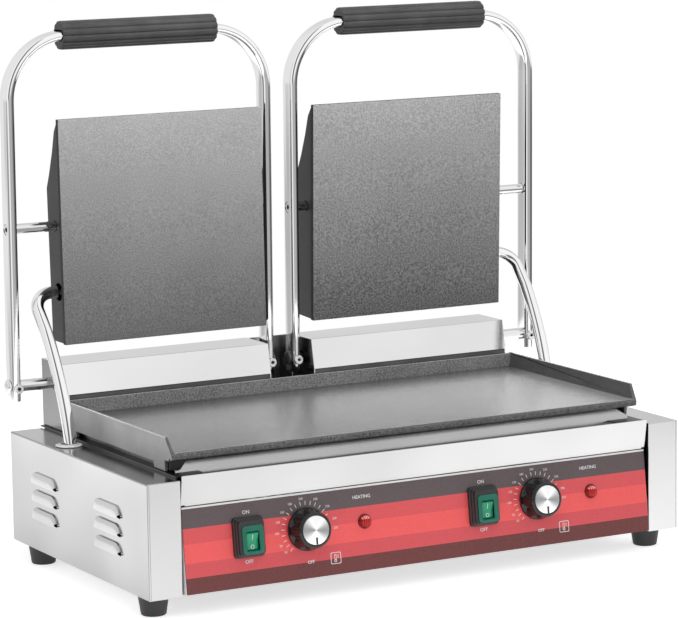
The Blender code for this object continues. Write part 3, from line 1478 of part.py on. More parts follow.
def build_base(base, look):
    chassis(base, look["zinc_steel"])
    rear_panel(base, look["zinc_steel"])
    cable_gland(base, look["black_plastic"])
    front_baffle(base, look["stainless"])
    heat_shield(base, look["zinc_steel"])
    griddle_plate(base, look["cast_iron"])
    centre_back_plate(base, look["stainless"])
    for side in (LEFT, RIGHT):
        end_casing(side, base, look["stainless"])
        rear_housing(side, base, look["stainless"])
        hinge_bracket(side, base, look["zinc_steel"])
        torsion_spring(side, base, look["spring_steel"])
        lower_element(side, base, look["element_steel"])
        conduit_washer(side, base, look["grey_plastic"])
        for place, y in (("front", FOOT_FRONT_Y), ("back", FOOT_BACK_Y)):
            foot(f"foot_{place}_{SIDE_NAMES[side]}", side * FOOT_X, y, base, look["rubber"])


def build_controls(base, look):
    panel = make_empty("panel_axis", base, (0, PANEL_BOTTOM_Y, PANEL_BOTTOM_Z), -PANEL_TILT)
    panel_overlay(panel, look["overlay"])
    front_panel(panel, look["stainless"])
    for side, (knob_x, switch_x, lamp_x) in control_places().items():
        name = SIDE_NAMES[side]
        thermostat(side, knob_x, panel, look["grey_plastic"])
        knob_axis = make_empty(f"knob_axis_{name}", panel, (knob_x, 0, CONTROL_UP))
        knob(side, knob_axis, look["knob_black"], look["spun_aluminium"], look["zinc_steel"])
        switch_body(side, switch_x, panel, look["black_plastic"])
        place = (switch_x, -ROCKER_AXIS_OUT, CONTROL_UP)
        rocker_axis = make_empty(f"rocker_axis_{name}", panel, place, math.radians(ROCKER_REST_DEG))
        rocker(side, rocker_axis, look["green_plastic"])
        pilot_lamp(side, lamp_x, panel, look["red_lens"])


def build_lid(side, base, look):
    name = SIDE_NAMES[side]
    lean = math.radians(LID_LEAN_DEG)
    lid = make_empty(f"lid_axis_{name}", base, (0, PIVOT_Y, PIVOT_Z), lean)
    lid_frame(side, lid, look["tube_steel"])
    grip(side, lid, look["grip_rubber"])
    pivot_shaft(side, lid, look["tube_steel"])
    leg_bolt(side, "outer", OUTER_LEG_X, lid, look["zinc_steel"])
    leg_bolt(side, "inner", INNER_LEG_X, lid, look["zinc_steel"])
    plate_axle(side, lid, look["tube_steel"])
    rest = math.radians(PLATE_REST_DEG[side])
    plate = make_empty(f"plate_axis_{name}", lid, (0, 0, AXLE_UP), rest)
    upper_plate(side, plate, look["cast_iron"])
    plate_cover(side, plate, look["black_steel"])
    upper_element(side, plate, look["element_steel"])
    entry = conduit_entry()
    axis = make_empty(f"conduit_axis_{name}", base, (0, entry.x, entry.y))
    conduit(side, axis, look["tube_steel"])


def main():
    clear_scene()
    look = {
        "stainless": make_material("stainless", (0.62, 0.62, 0.62), 1.0, 0.28),
        "tube_steel": make_material("tube_steel", (0.72, 0.72, 0.72), 1.0, 0.18),
        "zinc_steel": make_material("zinc_steel", (0.55, 0.56, 0.57), 1.0, 0.40),
        "spring_steel": make_material("spring_steel", (0.30, 0.30, 0.31), 1.0, 0.40),
        "element_steel": make_material("element_steel", (0.20, 0.20, 0.20), 1.0, 0.55),
        "spun_aluminium": make_material("spun_aluminium", (0.80, 0.80, 0.80), 1.0, 0.25),
        "cast_iron": make_material("cast_iron", (0.09, 0.09, 0.09), 0.2, 0.60),
        "black_steel": make_material("black_steel", (0.05, 0.05, 0.05), 0.2, 0.50),
        "black_plastic": make_material("black_plastic", (0.02, 0.02, 0.02), 0.0, 0.55),
        "knob_black": make_material("knob_black", (0.015, 0.015, 0.015), 0.0, 0.15),
        "grey_plastic": make_material("grey_plastic", (0.45, 0.45, 0.45), 0.0, 0.50),
        "green_plastic": make_material("green_plastic", (0.0, 0.35, 0.20), 0.0, 0.25),
        "red_lens": make_material("red_lens", (0.60, 0.02, 0.02), 0.0, 0.10),
        "rubber": make_material("rubber", (0.03, 0.03, 0.03), 0.0, 0.70),
        "grip_rubber": make_material("grip_rubber", (0.02, 0.02, 0.02), 0.0, 0.65),
        "overlay": make_material("overlay", (0.75, 0.08, 0.09), 0.0, 0.35),
    }
    base = make_empty("base_origin", None, (0, -Y_MID, FOOT_H))
    build_base(base, look)
    build_controls(base, look)
    tray_axis = make_empty("tray_axis", base, (0, 0, 0))
    drip_tray(tray_axis, look["stainless"])
    for side in (LEFT, RIGHT):
        build_lid(side, base, look)


main()
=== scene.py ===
"""The looks of a double panini press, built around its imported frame.

Lengths are in metres, in the row frame: +X to the right, +Y to the back, +Z up. A place on the
panel is given across, up the slope and out of it, from the height of the knobs' middle.
"""

import json
import math

import bmesh
import bpy
from mathutils import Matrix, Vector

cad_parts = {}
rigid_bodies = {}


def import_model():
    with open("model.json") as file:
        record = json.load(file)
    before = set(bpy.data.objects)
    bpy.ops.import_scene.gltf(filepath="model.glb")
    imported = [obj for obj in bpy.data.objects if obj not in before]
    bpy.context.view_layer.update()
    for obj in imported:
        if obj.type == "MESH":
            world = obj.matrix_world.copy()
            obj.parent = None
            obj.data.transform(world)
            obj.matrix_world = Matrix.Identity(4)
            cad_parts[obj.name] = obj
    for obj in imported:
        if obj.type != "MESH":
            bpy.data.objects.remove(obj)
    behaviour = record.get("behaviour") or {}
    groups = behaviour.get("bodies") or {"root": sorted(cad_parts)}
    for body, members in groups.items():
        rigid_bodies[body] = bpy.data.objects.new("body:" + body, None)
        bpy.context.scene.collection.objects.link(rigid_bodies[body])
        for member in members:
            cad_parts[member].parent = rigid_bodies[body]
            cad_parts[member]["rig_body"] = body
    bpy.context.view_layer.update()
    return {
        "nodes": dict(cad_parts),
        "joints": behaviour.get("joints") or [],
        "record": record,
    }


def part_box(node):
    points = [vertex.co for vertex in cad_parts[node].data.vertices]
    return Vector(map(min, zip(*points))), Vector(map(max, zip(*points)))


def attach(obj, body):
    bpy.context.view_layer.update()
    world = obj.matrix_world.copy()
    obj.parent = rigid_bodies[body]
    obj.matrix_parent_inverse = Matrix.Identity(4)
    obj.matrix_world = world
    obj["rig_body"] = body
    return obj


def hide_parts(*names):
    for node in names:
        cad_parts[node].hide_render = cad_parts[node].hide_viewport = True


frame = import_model()

NODES = frame["nodes"]
NODE_SLOTS = {part["node"]: part["material_slot"] for part in frame["record"]["subparts"]}
JOINTS = {joint["name"]: joint for joint in frame["joints"]}
LEFT, RIGHT = -1, 1
SIDES = {"left": LEFT, "right": RIGHT}
WHITE = (1, 1, 1, 1)
TINY = 1e-6

# How far thin pieces stand out from what carries them
PROUD = 0.0002

# The least share of a face's normal that makes it a side face, or the edge of one. Such faces take
# looks of painted light and shade
SIDE_FACE_SHARE = 0.55
EDGE_LINE_SHARE = 0.25

# The camera, which stands before the press and to its left
CAMERA_PLACE = (-1.5202, -2.7684, 0.7213)
CAMERA_AZIMUTH_DEG = 28.696
CAMERA_DOWN_DEG = 8.641
CAMERA_ROLL_DEG = -0.884
CAMERA_LENS_MM = 175.75
CAMERA_SENSOR_MM = 36.0

# Lid frames and grips. A grip's ends are given as distance from the end and share of the size
TUBE_HALF_W = 0.0045
TUBE_HALF_D = 0.0100
TUBE_WALL = 0.0015
TUBE_END_STEPS = 16
LEG_DROP = 0.0133
LID_CORNER_R = 0.0600
LID_CORNER_STEPS = 28
HOLE_CLEAR = 0.0003
GRIP_RIBS = 12
GRIP_RIB_POINTS = 8
GRIP_GROOVE = 0.0014
GRIP_BORE_CLEAR = 0.0010
GRIP_BORE_DEPTH = 0.0060
GRIP_BORE_STEPS = 12
GRIP_ENDS = ((0.0, 0.94), (0.0004, 0.965), (0.0012, 0.99), (0.0024, 1.0))

# Conduits, and their washers as (inset, height) and then (inset, depth under the top) pairs
CONDUIT_R = 0.0060
CONDUIT_SIDES = 32
CONDUIT_BEND_R = 0.0200
CONDUIT_BEND_STEPS = 18
CONDUIT_SHARE = 0.62
CONDUIT_STEPS = 13
CONDUIT_LINE_STEPS = 4
CONDUIT_TAIL = 0.0055
CONDUIT_HOLE_UP = 0.0008
CONDUIT_LOW_IN = 0.0016
WASHER_FLANGE = (
    (0.0044, 0.0), (0.0003, 0.0), (0.0, 0.0003), (0.0, 0.0008), (0.0004, 0.0011),
    (0.0014, 0.0012), (0.0032, 0.0012),
)
WASHER_COLLAR = ((0.0034, 0.0002), (0.0037, 0.0), (0.0042, 0.0), (0.0044, 0.0002))

# End casings
CASING_SHEET = 0.0012
CASING_EDGE = 0.0009
CASING_HOLE_R = 0.0090
SEAM_W = 0.0006
SEAM_IN = 0.0022
SEAM_TOP_IN = 0.0009
LOUVRE_COLUMN_SHARES = (0.278, 0.742)
LOUVRE_ROW_SHARES = (0.665, 0.506, 0.342)
LOUVRE_LENGTH = 0.0560
LOUVRE_UP = 0.0060
LOUVRE_DOWN = 0.0050
LOUVRE_OUT = 0.0036
LOUVRE_WALL = 0.0009
LOUVRE_STEPS = 9
LOUVRE_TIP_SHARE = 0.03
LOUVRE_FLATNESS = 0.6
LOUVRE_EYE_R = 0.0016
LOUVRE_EYE_SHARE = 0.35
# The part of a louvre's height that is its rim, which is painted darker as shade
LOUVRE_RIM_SHARE = 0.46

# Knobs as (radius, out, scallop) and their caps as (radius, out)
KNOB_LEVELS = (
    (0.0196, 0.0012, 0.0), (0.0200, 0.0016, 0.0), (0.0200, 0.0036, 0.0), (0.0196, 0.0042, 0.0),
    (0.0189, 0.0054, 0.0012), (0.0186, 0.0062, 0.0020), (0.0176, 0.0105, 0.0022),
    (0.0168, 0.0150, 0.0020), (0.0168, 0.0166, 0.0010), (0.0167, 0.0176, 0.0002),
    (0.0161, 0.0184, 0.0), (0.0153, 0.0190, 0.0), (0.0147, 0.0191, 0.0), (0.0139, 0.0191, 0.0),
    (0.0137, 0.0189, 0.0), (0.0137, 0.0181, 0.0),
)
KNOB_POINTS = 96
KNOB_LOBES = 8
CAP_PROFILE = (
    (0.0132, 0.0185), (0.0134, 0.0187), (0.0134, 0.0192), (0.0132, 0.0195), (0.0128, 0.0196),
    (0.00804, 0.01967), (0.00268, 0.01969), (0.0002, 0.0197),
)
POINTER_BOX = ((-0.0010, -0.0131, 0.0195), (0.0010, -0.0066, 0.01975))

# Switches. Frames as (inset, out) from the hood's front, keys as (out, up) from their axis
HOOD_OUT = 0.0095
FRAME_UP = -0.0022
FRAME_ACROSS = 0.0008
FRAME_SIZE = (0.0110, 0.0130, 0.0036)
FRAME_LEVELS = ((0.0, 0.0), (0.0, 0.0009), (0.0003, 0.0013), (0.0009, 0.0015))
WINDOW_HALF_W = 0.0063
WINDOW_HALF_H = 0.0084
WINDOW_CORNER = 0.0008
WINDOW_DROP = 0.0013
WINDOW_LEVELS = ((0.0010, 0.0014), (0.0006, 0.0009), (0.0, 0.0))
POCKET_LOW = (-0.0073, -0.0129, -0.0035)
POCKET_HIGH = (0.0073, -0.0020, 0.0139)
KEY_HALF_W = 0.0061
KEY_TOP = (
    (-0.0038, 0.0052), (-0.0006, 0.0058), (0.0022, 0.0056), (0.0044, 0.0050), (0.0055, 0.0042),
)
KEY_FOLD = (0.0043, -0.0034)
KEY_FOOT = (
    (0.0050, -0.0110), (0.0042, -0.0117), (0.0016, -0.0122), (-0.0006, -0.0122), (-0.0032, -0.0108),
)
KEY_LINE_UP = 0.0006
KEY_LINE_HALF = (0.0003, 0.0025)
KEY_RING_UP = -0.0082
KEY_RING_RADII = (0.0019, 0.0013)

# Pilot lamps, as (radius, out), and their lenses as (radius, out, flute)
LAMP_RIM = (
    (0.0067, -0.0002), (0.0069, 0.0002), (0.0069, 0.0009), (0.0066, 0.0013), (0.0063, 0.0013),
    (0.0056, 0.0024), (0.0056, 0.0),
)
LENS_LEVELS = (
    (0.0055, 0.0004, 0.0), (0.0055, 0.0026, 0.0), (0.0054, 0.0034, 0.0002),
    (0.0051, 0.0041, 0.0004), (0.0045, 0.0048, 0.0005), (0.0036, 0.0053, 0.0004),
    (0.0024, 0.0057, 0.0), (0.0012, 0.0058, 0.0),
)
LENS_POINTS = 72
LENS_FLUTES = 12

# Bolts and screws. Shares are of a bolt head's radius, of the socket's at the mouth, and of the
# height at the floor
HEAD_HEIGHT = 0.0032
HEAD_POINTS = 36
BOLT_HEAD_MORE = 0.0008
BOLT_FOOT_SHARE = 0.96
BOLT_EDGE_SHARE = 0.16
SOCKET_SHARE = 0.45
SOCKET_MOUTH_SHARES = (1.25, 1.12)
SOCKET_FLOOR_SHARE = 0.45
PAN_PROFILE = (
    (0.0068, 0.0), (0.0071, 0.0004), (0.0071, 0.0014), (0.0068, 0.0022), (0.0058, 0.0028),
    (0.0040, 0.0032), (0.0018, 0.0033), (0.0003, 0.0033),
)
CROSS_LENGTH = 0.0028
CROSS_WIDTH = 0.0005
CROSS_FLOOR = 0.0022
CROSS_TOP = 0.0050

# Panel print, with words as (text, height, across, up), and the sign's bars as
# (across, up, length, turn in degrees)
SWITCH_SIDE = -0.0605
LAMP_SIDE = 0.0610
CAP_SHARE = 0.72
LETTER_BOLD = 0.00005
INK_THICK = 0.00012
INK_OUT = 0.00012
WORDS = (
    ("ON", 0.0034, SWITCH_SIDE, 0.0224), ("OFF", 0.0034, SWITCH_SIDE, -0.0228),
    ("HEATING", 0.0032, LAMP_SIDE - 0.0015, 0.0230), ("OFF", 0.0030, 0.0026, -0.0309),
)
DIAL_R = 0.0240
DIAL_TICKS = 17
DIAL_TICK_SIZE = (0.0036, 0.0006)
DIAL_FIRST_DEG = 226
DIAL_LAST_DEG = 26
DIAL_NUMBER_R = 0.0283
DIAL_NUMBER_SPREAD = 1.08
DIAL_NUMBER_HEIGHT = 0.0022
DIAL_NUMBERS = {
    50: 222, 70: 207, 100: 182, 120: 161, 150: 141, 180: 120, 200: 97, 220: 68, 250: 40,
    280: 13, 300: -5,
}
SIGN_PLACE = (0.0284, -0.0302)
SIGN_HALF = 0.0054
SIGN_CORNER = 0.0014
SIGN_LINE = 0.0006
SIGN_BAR_WIDTH = 0.00045
SIGN_BULB = (-0.0004, -0.0024)
SIGN_BULB_RADII = (0.0014, 0.0008)
SIGN_BARS = (
    (-0.0012, 0.0010, 0.0046, 90), (0.0004, 0.0010, 0.0046, 90), (-0.0004, 0.0033, 0.0018, 0),
    (0.0024, 0.0028, 0.0014, 0), (0.0024, 0.0014, 0.0014, 0), (0.0024, 0.0, 0.0014, 0),
)

# The strip above the foil and the returns at the panel's ends, these as (back, up)
STRIP_HALF = 0.2490
STRIP_TOP = 0.0337
STRIP_WIDTH = 0.0017
RETURN_X = (0.2484, 0.2497)
RETURN_OUTLINE = ((-0.1528, 0.0222), (-0.1434, 0.0998), (-0.1322, 0.0984), (-0.1408, 0.0213))

# The strip under the griddle's lip
BAFFLE_SHEET = 0.0012
BAFFLE_DROP = 0.0044
BAFFLE_LEAN = 0.0042
BAFFLE_SHOULDER_UP = 0.0023
BAFFLE_MITRE = 0.0118

# Griddle: the depth of its rims and lip, where the walls' foot lies, and the dark block at the left
# end of the lip, which is painted shade
RIM_DEPTH = 0.0030
LIP_DEPTH = 0.0060
WALL_RISE = 0.0140
FOOT_REACH = 0.0008
CORNER_REACH = 0.0200
CORNER_INSET = 0.0014
CORNER_TOP = 0.0136
CORNER_BOTTOM = 0.0030
CORNER_TAPER = 0.0080
CORNER_BACK = 0.0030
CORNER_THICK = 0.0030

# The low sheet in front of a hinge housing
SILL_IN = 0.0004
SILL_THICK = 0.0012
SILL_HEIGHT = 0.0356

# Stage and light. Each lamp has a place, a target, a power and a size. The tones round the
# world are (degrees from +X, grey), for what metal reflects below and above the horizon
AMBIENT = 0.45
FLOOR_R = 1.20
FLOOR_THICK = 0.02
FLOOR_GREY = 0.90
FLOOR_CLOUD = 0.01
FLOOR_LIFT = 0.62
LAMPS = {
    "key": ((-1.6, -2.4, 2.6), (0, 0, 0.2), 15.0, (2.0, 2.0)),
    "fill": ((2.4, -2.0, 2.0), (0, 0, 0.2), 6.0, (2.0, 2.0)),
    "low_fill": ((-0.3, -1.4, 0.30), (0, -0.15, 0.06), 2.6, (0.9, 0.9)),
    "top_strip": ((-0.02, -0.15, 0.84), (-0.02, 0.13, 0.42), 4.2, (0.95, 0.18)),
}
LOW_TONES = (
    (-180, 0.32), (-167, 0.34), (-158, 1.0), (-138, 1.0), (-127, 0.52), (-108, 0.42), (-79, 0.50),
    (-62, 0.36), (-48, 0.24), (-25, 0.09), (30, 0.09), (52, 0.30), (70, 0.42), (90, 0.85),
    (114, 0.86), (118, 0.48), (124, 0.54), (131, 0.85), (142, 0.85), (152, 0.32),
)
SKY_TONES = (
    (-180, 0.85), (-150, 1.0), (-141, 1.0), (-136, 0.16), (-110, 0.20), (-103, 1.0), (-20, 1.0),
    (30, 0.74), (75, 0.74), (100, 0.85), (180, 0.85),
)
SKY_FROM, SKY_TO = -0.11, -0.03

# Painted light and shade, as slow changes of tone: an axis, and the two places on it between which
# the tone changes. The shaft's are distances from the middle of the press
# Painted shade: the upper plates darker towards the bottom
PLATE_PAINTED_SHADE = ("Z", 0.185, 0.430)
# Painted shade: the griddle's surface darker towards its left end
GRIDDLE_PAINTED_SHADE = ("X", -0.25, 0.25)
# Painted shade: the griddle's surface darker towards its back wall
GRIDDLE_BACK_PAINTED_SHADE = ("Y", 0.040, 0.097)
# Painted shade: the tray darker towards its left end
TRAY_PAINTED_SHADE = ("X", -0.25, 0.25)
# Painted shade: the casings darker towards the left
CASING_PAINTED_SHADE = ("X", -0.26, 0.27)
# Painted shade: the casings' side faces darker towards the bottom
SIDE_PAINTED_SHADE = ("Z", 0.020, 0.126)
# Painted shade: the louvres darker towards the bottom
LOUVRE_PAINTED_SHADE = ("Z", 0.050, 0.100)
# Painted shade: the pivot shaft darker towards the middle of the press
SHAFT_PAINTED_SHADE_SPAN = (0.10, 0.20)

# Shares and tones in the looks, the fineness of their noise and the depth of their relief. A
# wave's bounds are the part of a cosine that goes from the first tone to the second
# Painted shade at the griddle's back wall: its share and its tone
SHADE_SHARE = 0.72
SHADE_TONE = 0.030
# Painted shade on the pivot shaft: its dark and its bright tone
SHAFT_PAINTED_SHADE_TONES = (0.06, 0.82)
CLOUD_SHARE = 0.3
CLOUD_SCALE = 7
CAST_CLOUD_SCALE = 14
MOULD_CLOUD_SCALE = 40
GRAIN_DEPTH = 0.0006
FINE_DEPTH = 0.0001
CAP_RINGS = 6000.0
CAP_RING_DEPTH = 0.00005
# The spun cap's painted highlight: its wedges round the axis, their turn, the wave's bounds and the
# tones
CAP_HIGHLIGHT_WINGS = 2.0
CAP_HIGHLIGHT_TURN = -math.radians(166)
CAP_HIGHLIGHT_WAVE = (-1.0, 0.3)
CAP_HIGHLIGHT_TONES = (0.32, 0.98)
# The lens's painted light: the width of its stripes, their wave, the span of the painted highlight
# at the top, and the reds and pinks
LENS_STRIPE = 0.0019
LENS_WAVE = (-0.6, 0.8)
LENS_HIGHLIGHT_SPAN = (0.0022, 0.0030)
LENS_REDS = ((0.22, 0.001, 0.001), (0.78, 0.008, 0.005))
LENS_HIGHLIGHT_PINKS = ((0.60, 0.080, 0.075), (0.90, 0.480, 0.460))

# The foil's bands: where each begins up the slope, and its colour
BAND_REACH = 0.05
BANDS = (
    (-BAND_REACH, (0.150, 0.02910, 0.02716)),
    (-0.0312, (0.740, 0.08924, 0.10476)),
    (-0.0179, (0.985, 0.11834, 0.11834)),
    (-0.0001, (0.800, 0.09700, 0.10864)),
    (0.0140, (0.118, 0.08536, 0.08924)),
)

# Sheet steels: stretch of the streaks, dark and pale tone, roughness, relief and fade
STREAKS_X = (30, 1800, 1800)
STREAKS_Y = (1800, 30, 1800)
SHEETS = {
    # The casings' fade is painted shade, darker towards the left
    "casing_steel": (STREAKS_Y, 0.52, 0.66, (0.17, 0.21), 0.02, CASING_PAINTED_SHADE),
    "front_steel": (STREAKS_X, 0.54, 0.59, (0.15, 0.19)),
    # The tray's fade is painted shade, darker towards the left
    "tray_steel": (STREAKS_X, 0.49, 0.68, (0.15, 0.19), 0.02, TRAY_PAINTED_SHADE),
    "housing_steel": (STREAKS_X, 0.76, 0.84, (0.13, 0.17)),
    "recess_steel": ((900, 900, 30), 0.48, 0.60, (0.26, 0.32)),
    # Painted shade: the chassis is kept dark, so that its rail under the griddle shows as a dark
    # line
    "chassis_steel": ((20, 900, 900), 0.10, 0.14, (0.35, 0.45)),
    "hidden_steel": ((20, 900, 900), 0.34, 0.42, (0.24, 0.32)),
    "tube_steel": ((90, 90, 30), 0.88, 0.93, (0.05, 0.07), 0.004),
    "axle_steel": ((30, 1200, 1200), 0.78, 0.84, (0.09, 0.13), 0.01),
    "screw_steel": (500, 0.78, 0.86, (0.12, 0.18), 0.01),
    "spring_steel": (300, 0.22, 0.30, (0.35, 0.45)),
    "baffle_steel": (STREAKS_X, 0.44, 0.50, (0.24, 0.28), 0.0),
    # Painted shade: the casings' side faces, darker towards the bottom
    "casing_side_steel": (STREAKS_Y, 0.33, 0.70, (0.17, 0.21), 0.02, SIDE_PAINTED_SHADE),
    # Painted light and shade: louvres lighter than the casing, and darker lower down
    "louvre_steel": (STREAKS_Y, 0.51, 0.75, (0.20, 0.26), 0.02, LOUVRE_PAINTED_SHADE),
    # Painted shade: the louvres' rims
    "louvre_rim_steel": (STREAKS_Y, 0.54, 0.62, (0.22, 0.28)),
    # Painted shade: dark edge lines on the casings, and the housings' side faces
    "side_steel": (STREAKS_Y, 0.26, 0.32, (0.22, 0.28)),
}

# Cast iron: dark and pale tone, roughness, grain, relief, and then the shares of the grain and
# of the cloud in the change of tone, the fade and the shade, both of them painted shade
CASTINGS = {
    # The plates' fade is painted shade, darker towards the bottom
    "plate_iron_left": (0.035, 0.400, (0.42, 0.54), 700, 0.80, (0.30, 0.05), PLATE_PAINTED_SHADE),
    "plate_iron_right": (0.000, 0.410, (0.42, 0.54), 560, 1.00, (0.36, 0.04), PLATE_PAINTED_SHADE),
    # Painted shade: the plates' side faces, and the block at the left end of the griddle's lip
    "plate_side_iron": (0.018, 0.034, (0.50, 0.62), 600, 0.30),
    "griddle_iron": (
        0.24, 0.90, (0.18, 0.26), 620, 0.45, (0.34, 0.04), GRIDDLE_PAINTED_SHADE, GRIDDLE_BACK_PAINTED_SHADE,
    ),
    # Painted light and shade: lit and shaded copies of the iron for the griddle's outer walls,
    # inner walls, back wall, lip and edges
    "griddle_wall": (0.380, 0.580, (0.28, 0.38), 300, 0.10, (0.3, 0.7)),
    "griddle_inner": (0.030, 0.120, (0.40, 0.50), 700, 0.30, (0.8, 0.2)),
    "griddle_back": (0.060, 0.330, (0.40, 0.50), 700, 0.35, (0.8, 0.2)),
    "griddle_lip": (0.010, 0.200, (0.40, 0.50), 900, 0.50, (0.9, 0.1)),
    "griddle_edge": (0.300, 0.440, (0.26, 0.36), 900, 0.30),
}

# Plastic, rubber and coated metal: dark and pale tone, and then roughness, grain and relief
COATINGS = {
    "bolt_steel": (0.86, 0.92, (0.18, 0.26), 900, 0.02),
    "element_steel": (0.10, 0.16, (0.50, 0.65), 900, 0.2),
    # Painted highlight: the griddle's bright outer rims
    "griddle_rim": (0.86, 0.92, (0.20, 0.28), 900, 0.02),
    "cover_steel": (0.012, 0.022, (0.30, 0.40), 600, 0.10),
    "black_plastic": (0.014, 0.020, (0.30, 0.40), 1400, 0.12),
    "knob_plastic": (0.008, 0.012, (0.10, 0.16)),
    "grey_plastic": (0.40, 0.46, (0.40, 0.52), 900, 0.10),
    "washer_metal": (0.74, 0.80, (0.35, 0.45), 900, 0.05),
    "teal_plastic": ((0.000, 0.125, 0.078), (0.000, 0.160, 0.100), (0.18, 0.26), 900, 0.05),
    "green_plastic": ((0.000, 0.330, 0.150), (0.004, 0.400, 0.190), (0.14, 0.22), 900, 0.04),
    "lamp_rim": ((0.13, 0.002, 0.002), (0.18, 0.004, 0.004), (0.20, 0.30), 900, 0.04),
    "foot_rubber": (0.030, 0.044, (0.50, 0.62), 1200, 0.25),
    "grip_rubber": (0.034, 0.050, (0.40, 0.50), 1500, 0.20),
    "ink": ((0.86, 0.85, 0.85), (0.92, 0.91, 0.91)),
    "pointer_ink": (0.012, 0.018),
    "shade_steel": (0.050, 0.080, (0.35, 0.45)),
    "socket_shade": (0.006, 0.010),
    "strip_steel": (0.93, 0.96, (0.25, 0.35)),
}

# Shader levels of single looks, where they differ from the rest
METALLIC = {
    "griddle_iron": 0.7, "griddle_rim": 0.3, "bolt_steel": 0.4, "element_steel": 0.6,
    "washer_metal": 0.2,
}
SPECULAR = {
    "plate_iron_right": 0.4, "plate_side_iron": 0.25, "cover_steel": 0.35, "grip_rubber": 0.35,
    "red_lens": 0.35, "floor_paper": 0.0,
}
USUAL_SPECULAR = 0.5

# The looks of CAD nodes that get no rounded copy: first of those on each side, then of single ones
PAIRED_LOOKS = {
    "hinge_bracket": "hidden_steel", "torsion_spring": "spring_steel",
    "lower_element": "element_steel", "upper_element": "element_steel",
    "thermostat": "grey_plastic", "thermostat_spindle": "hidden_steel",
    "pilot_lamp": "red_lens", "pivot_shaft": "shaft_steel", "plate_axle": "axle_steel",
}
SINGLE_LOOKS = {
    "chassis": "chassis_steel", "rear_panel": "hidden_steel", "cable_gland": "black_plastic",
    "heat_shield": "hidden_steel", "panel_overlay": "overlay",
}


# Places taken from the frame


def centre_of(node):
    low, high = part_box(node)
    return (low + high) / 2


def panel_place(across, up=0.0):
    return PANEL @ Matrix.Translation((across, up, 0))


control = Vector(JOINTS["knob_turn_right"]["pos_m"])
inward = Vector(JOINTS["knob_turn_right"]["axis"])
panel_up = Vector((0, -inward.z, inward.y))
GROUP_X = control.x
PANEL = Matrix(
    (
        (1, 0, 0, 0),
        (0, panel_up.y, -inward.y, control.y),
        (0, panel_up.z, -inward.z, control.z),
        (0, 0, 0, 1),
    )
)
pivot = Vector(JOINTS["lid_hinge_right"]["pos_m"])
axle = Vector(JOINTS["plate_swivel_right"]["pos_m"])
entry = Vector(JOINTS["conduit_swivel_right"]["pos_m"])
AXLE_UP = math.hypot(axle.y - pivot.y, axle.z - pivot.z)
LEAN = math.atan2(pivot.y - axle.y, axle.z - pivot.z)
LID = Matrix.Translation((0, pivot.y, pivot.z)) @ Matrix.Rotation(LEAN, 4, "X")
OUTER_LEG_X = centre_of("leg_bolt_outer_right").x
INNER_LEG_X = centre_of("leg_bolt_inner_right").x
LID_TOP = (centre_of("grip_right").z - pivot.z) / math.cos(LEAN)


# Materials


def rgba(tone):
    """Four channels, from a grey level or from three channels. A socket stays as it is."""
    if isinstance(tone, bpy.types.NodeSocket):
        return tone
    return (*tone, 1) if isinstance(tone, tuple) else (tone, tone, tone, 1)


def add_node(tree, kind, values=None, **settings):
    """A shader node with settings, and with a value or a link in each socket that is named."""
    made = tree.nodes.new("ShaderNode" + kind)
    for key, value in settings.items():
        setattr(made, key, value)
    for key, value in (values or {}).items():
        if isinstance(value, bpy.types.NodeSocket):
            tree.links.new(value, made.inputs[key])
        else:
            made.inputs[key].default_value = value
    return made


def set_stops(ramp, stops):
    """Gives a new colour ramp its stops, as pairs of place and tone in rising order."""
    elements = ramp.color_ramp.elements
    for number, (place, tone) in enumerate(stops):
        stop = elements[number] if number < 2 else elements.new(place)
        stop.position = place
        stop.color = rgba(tone)


def seen_rays(tree):
    """1 for camera, glossy and transmission rays, and 0 for the rays that light surfaces."""
    rays = add_node(tree, "LightPath").outputs
    seen = rays["Is Camera Ray"]
    for kind in ("Is Glossy Ray", "Is Transmission Ray"):
        seen = add_node(tree, "Math", {0: seen, 1: rays[kind]}, operation="MAXIMUM").outputs[0]
    return seen


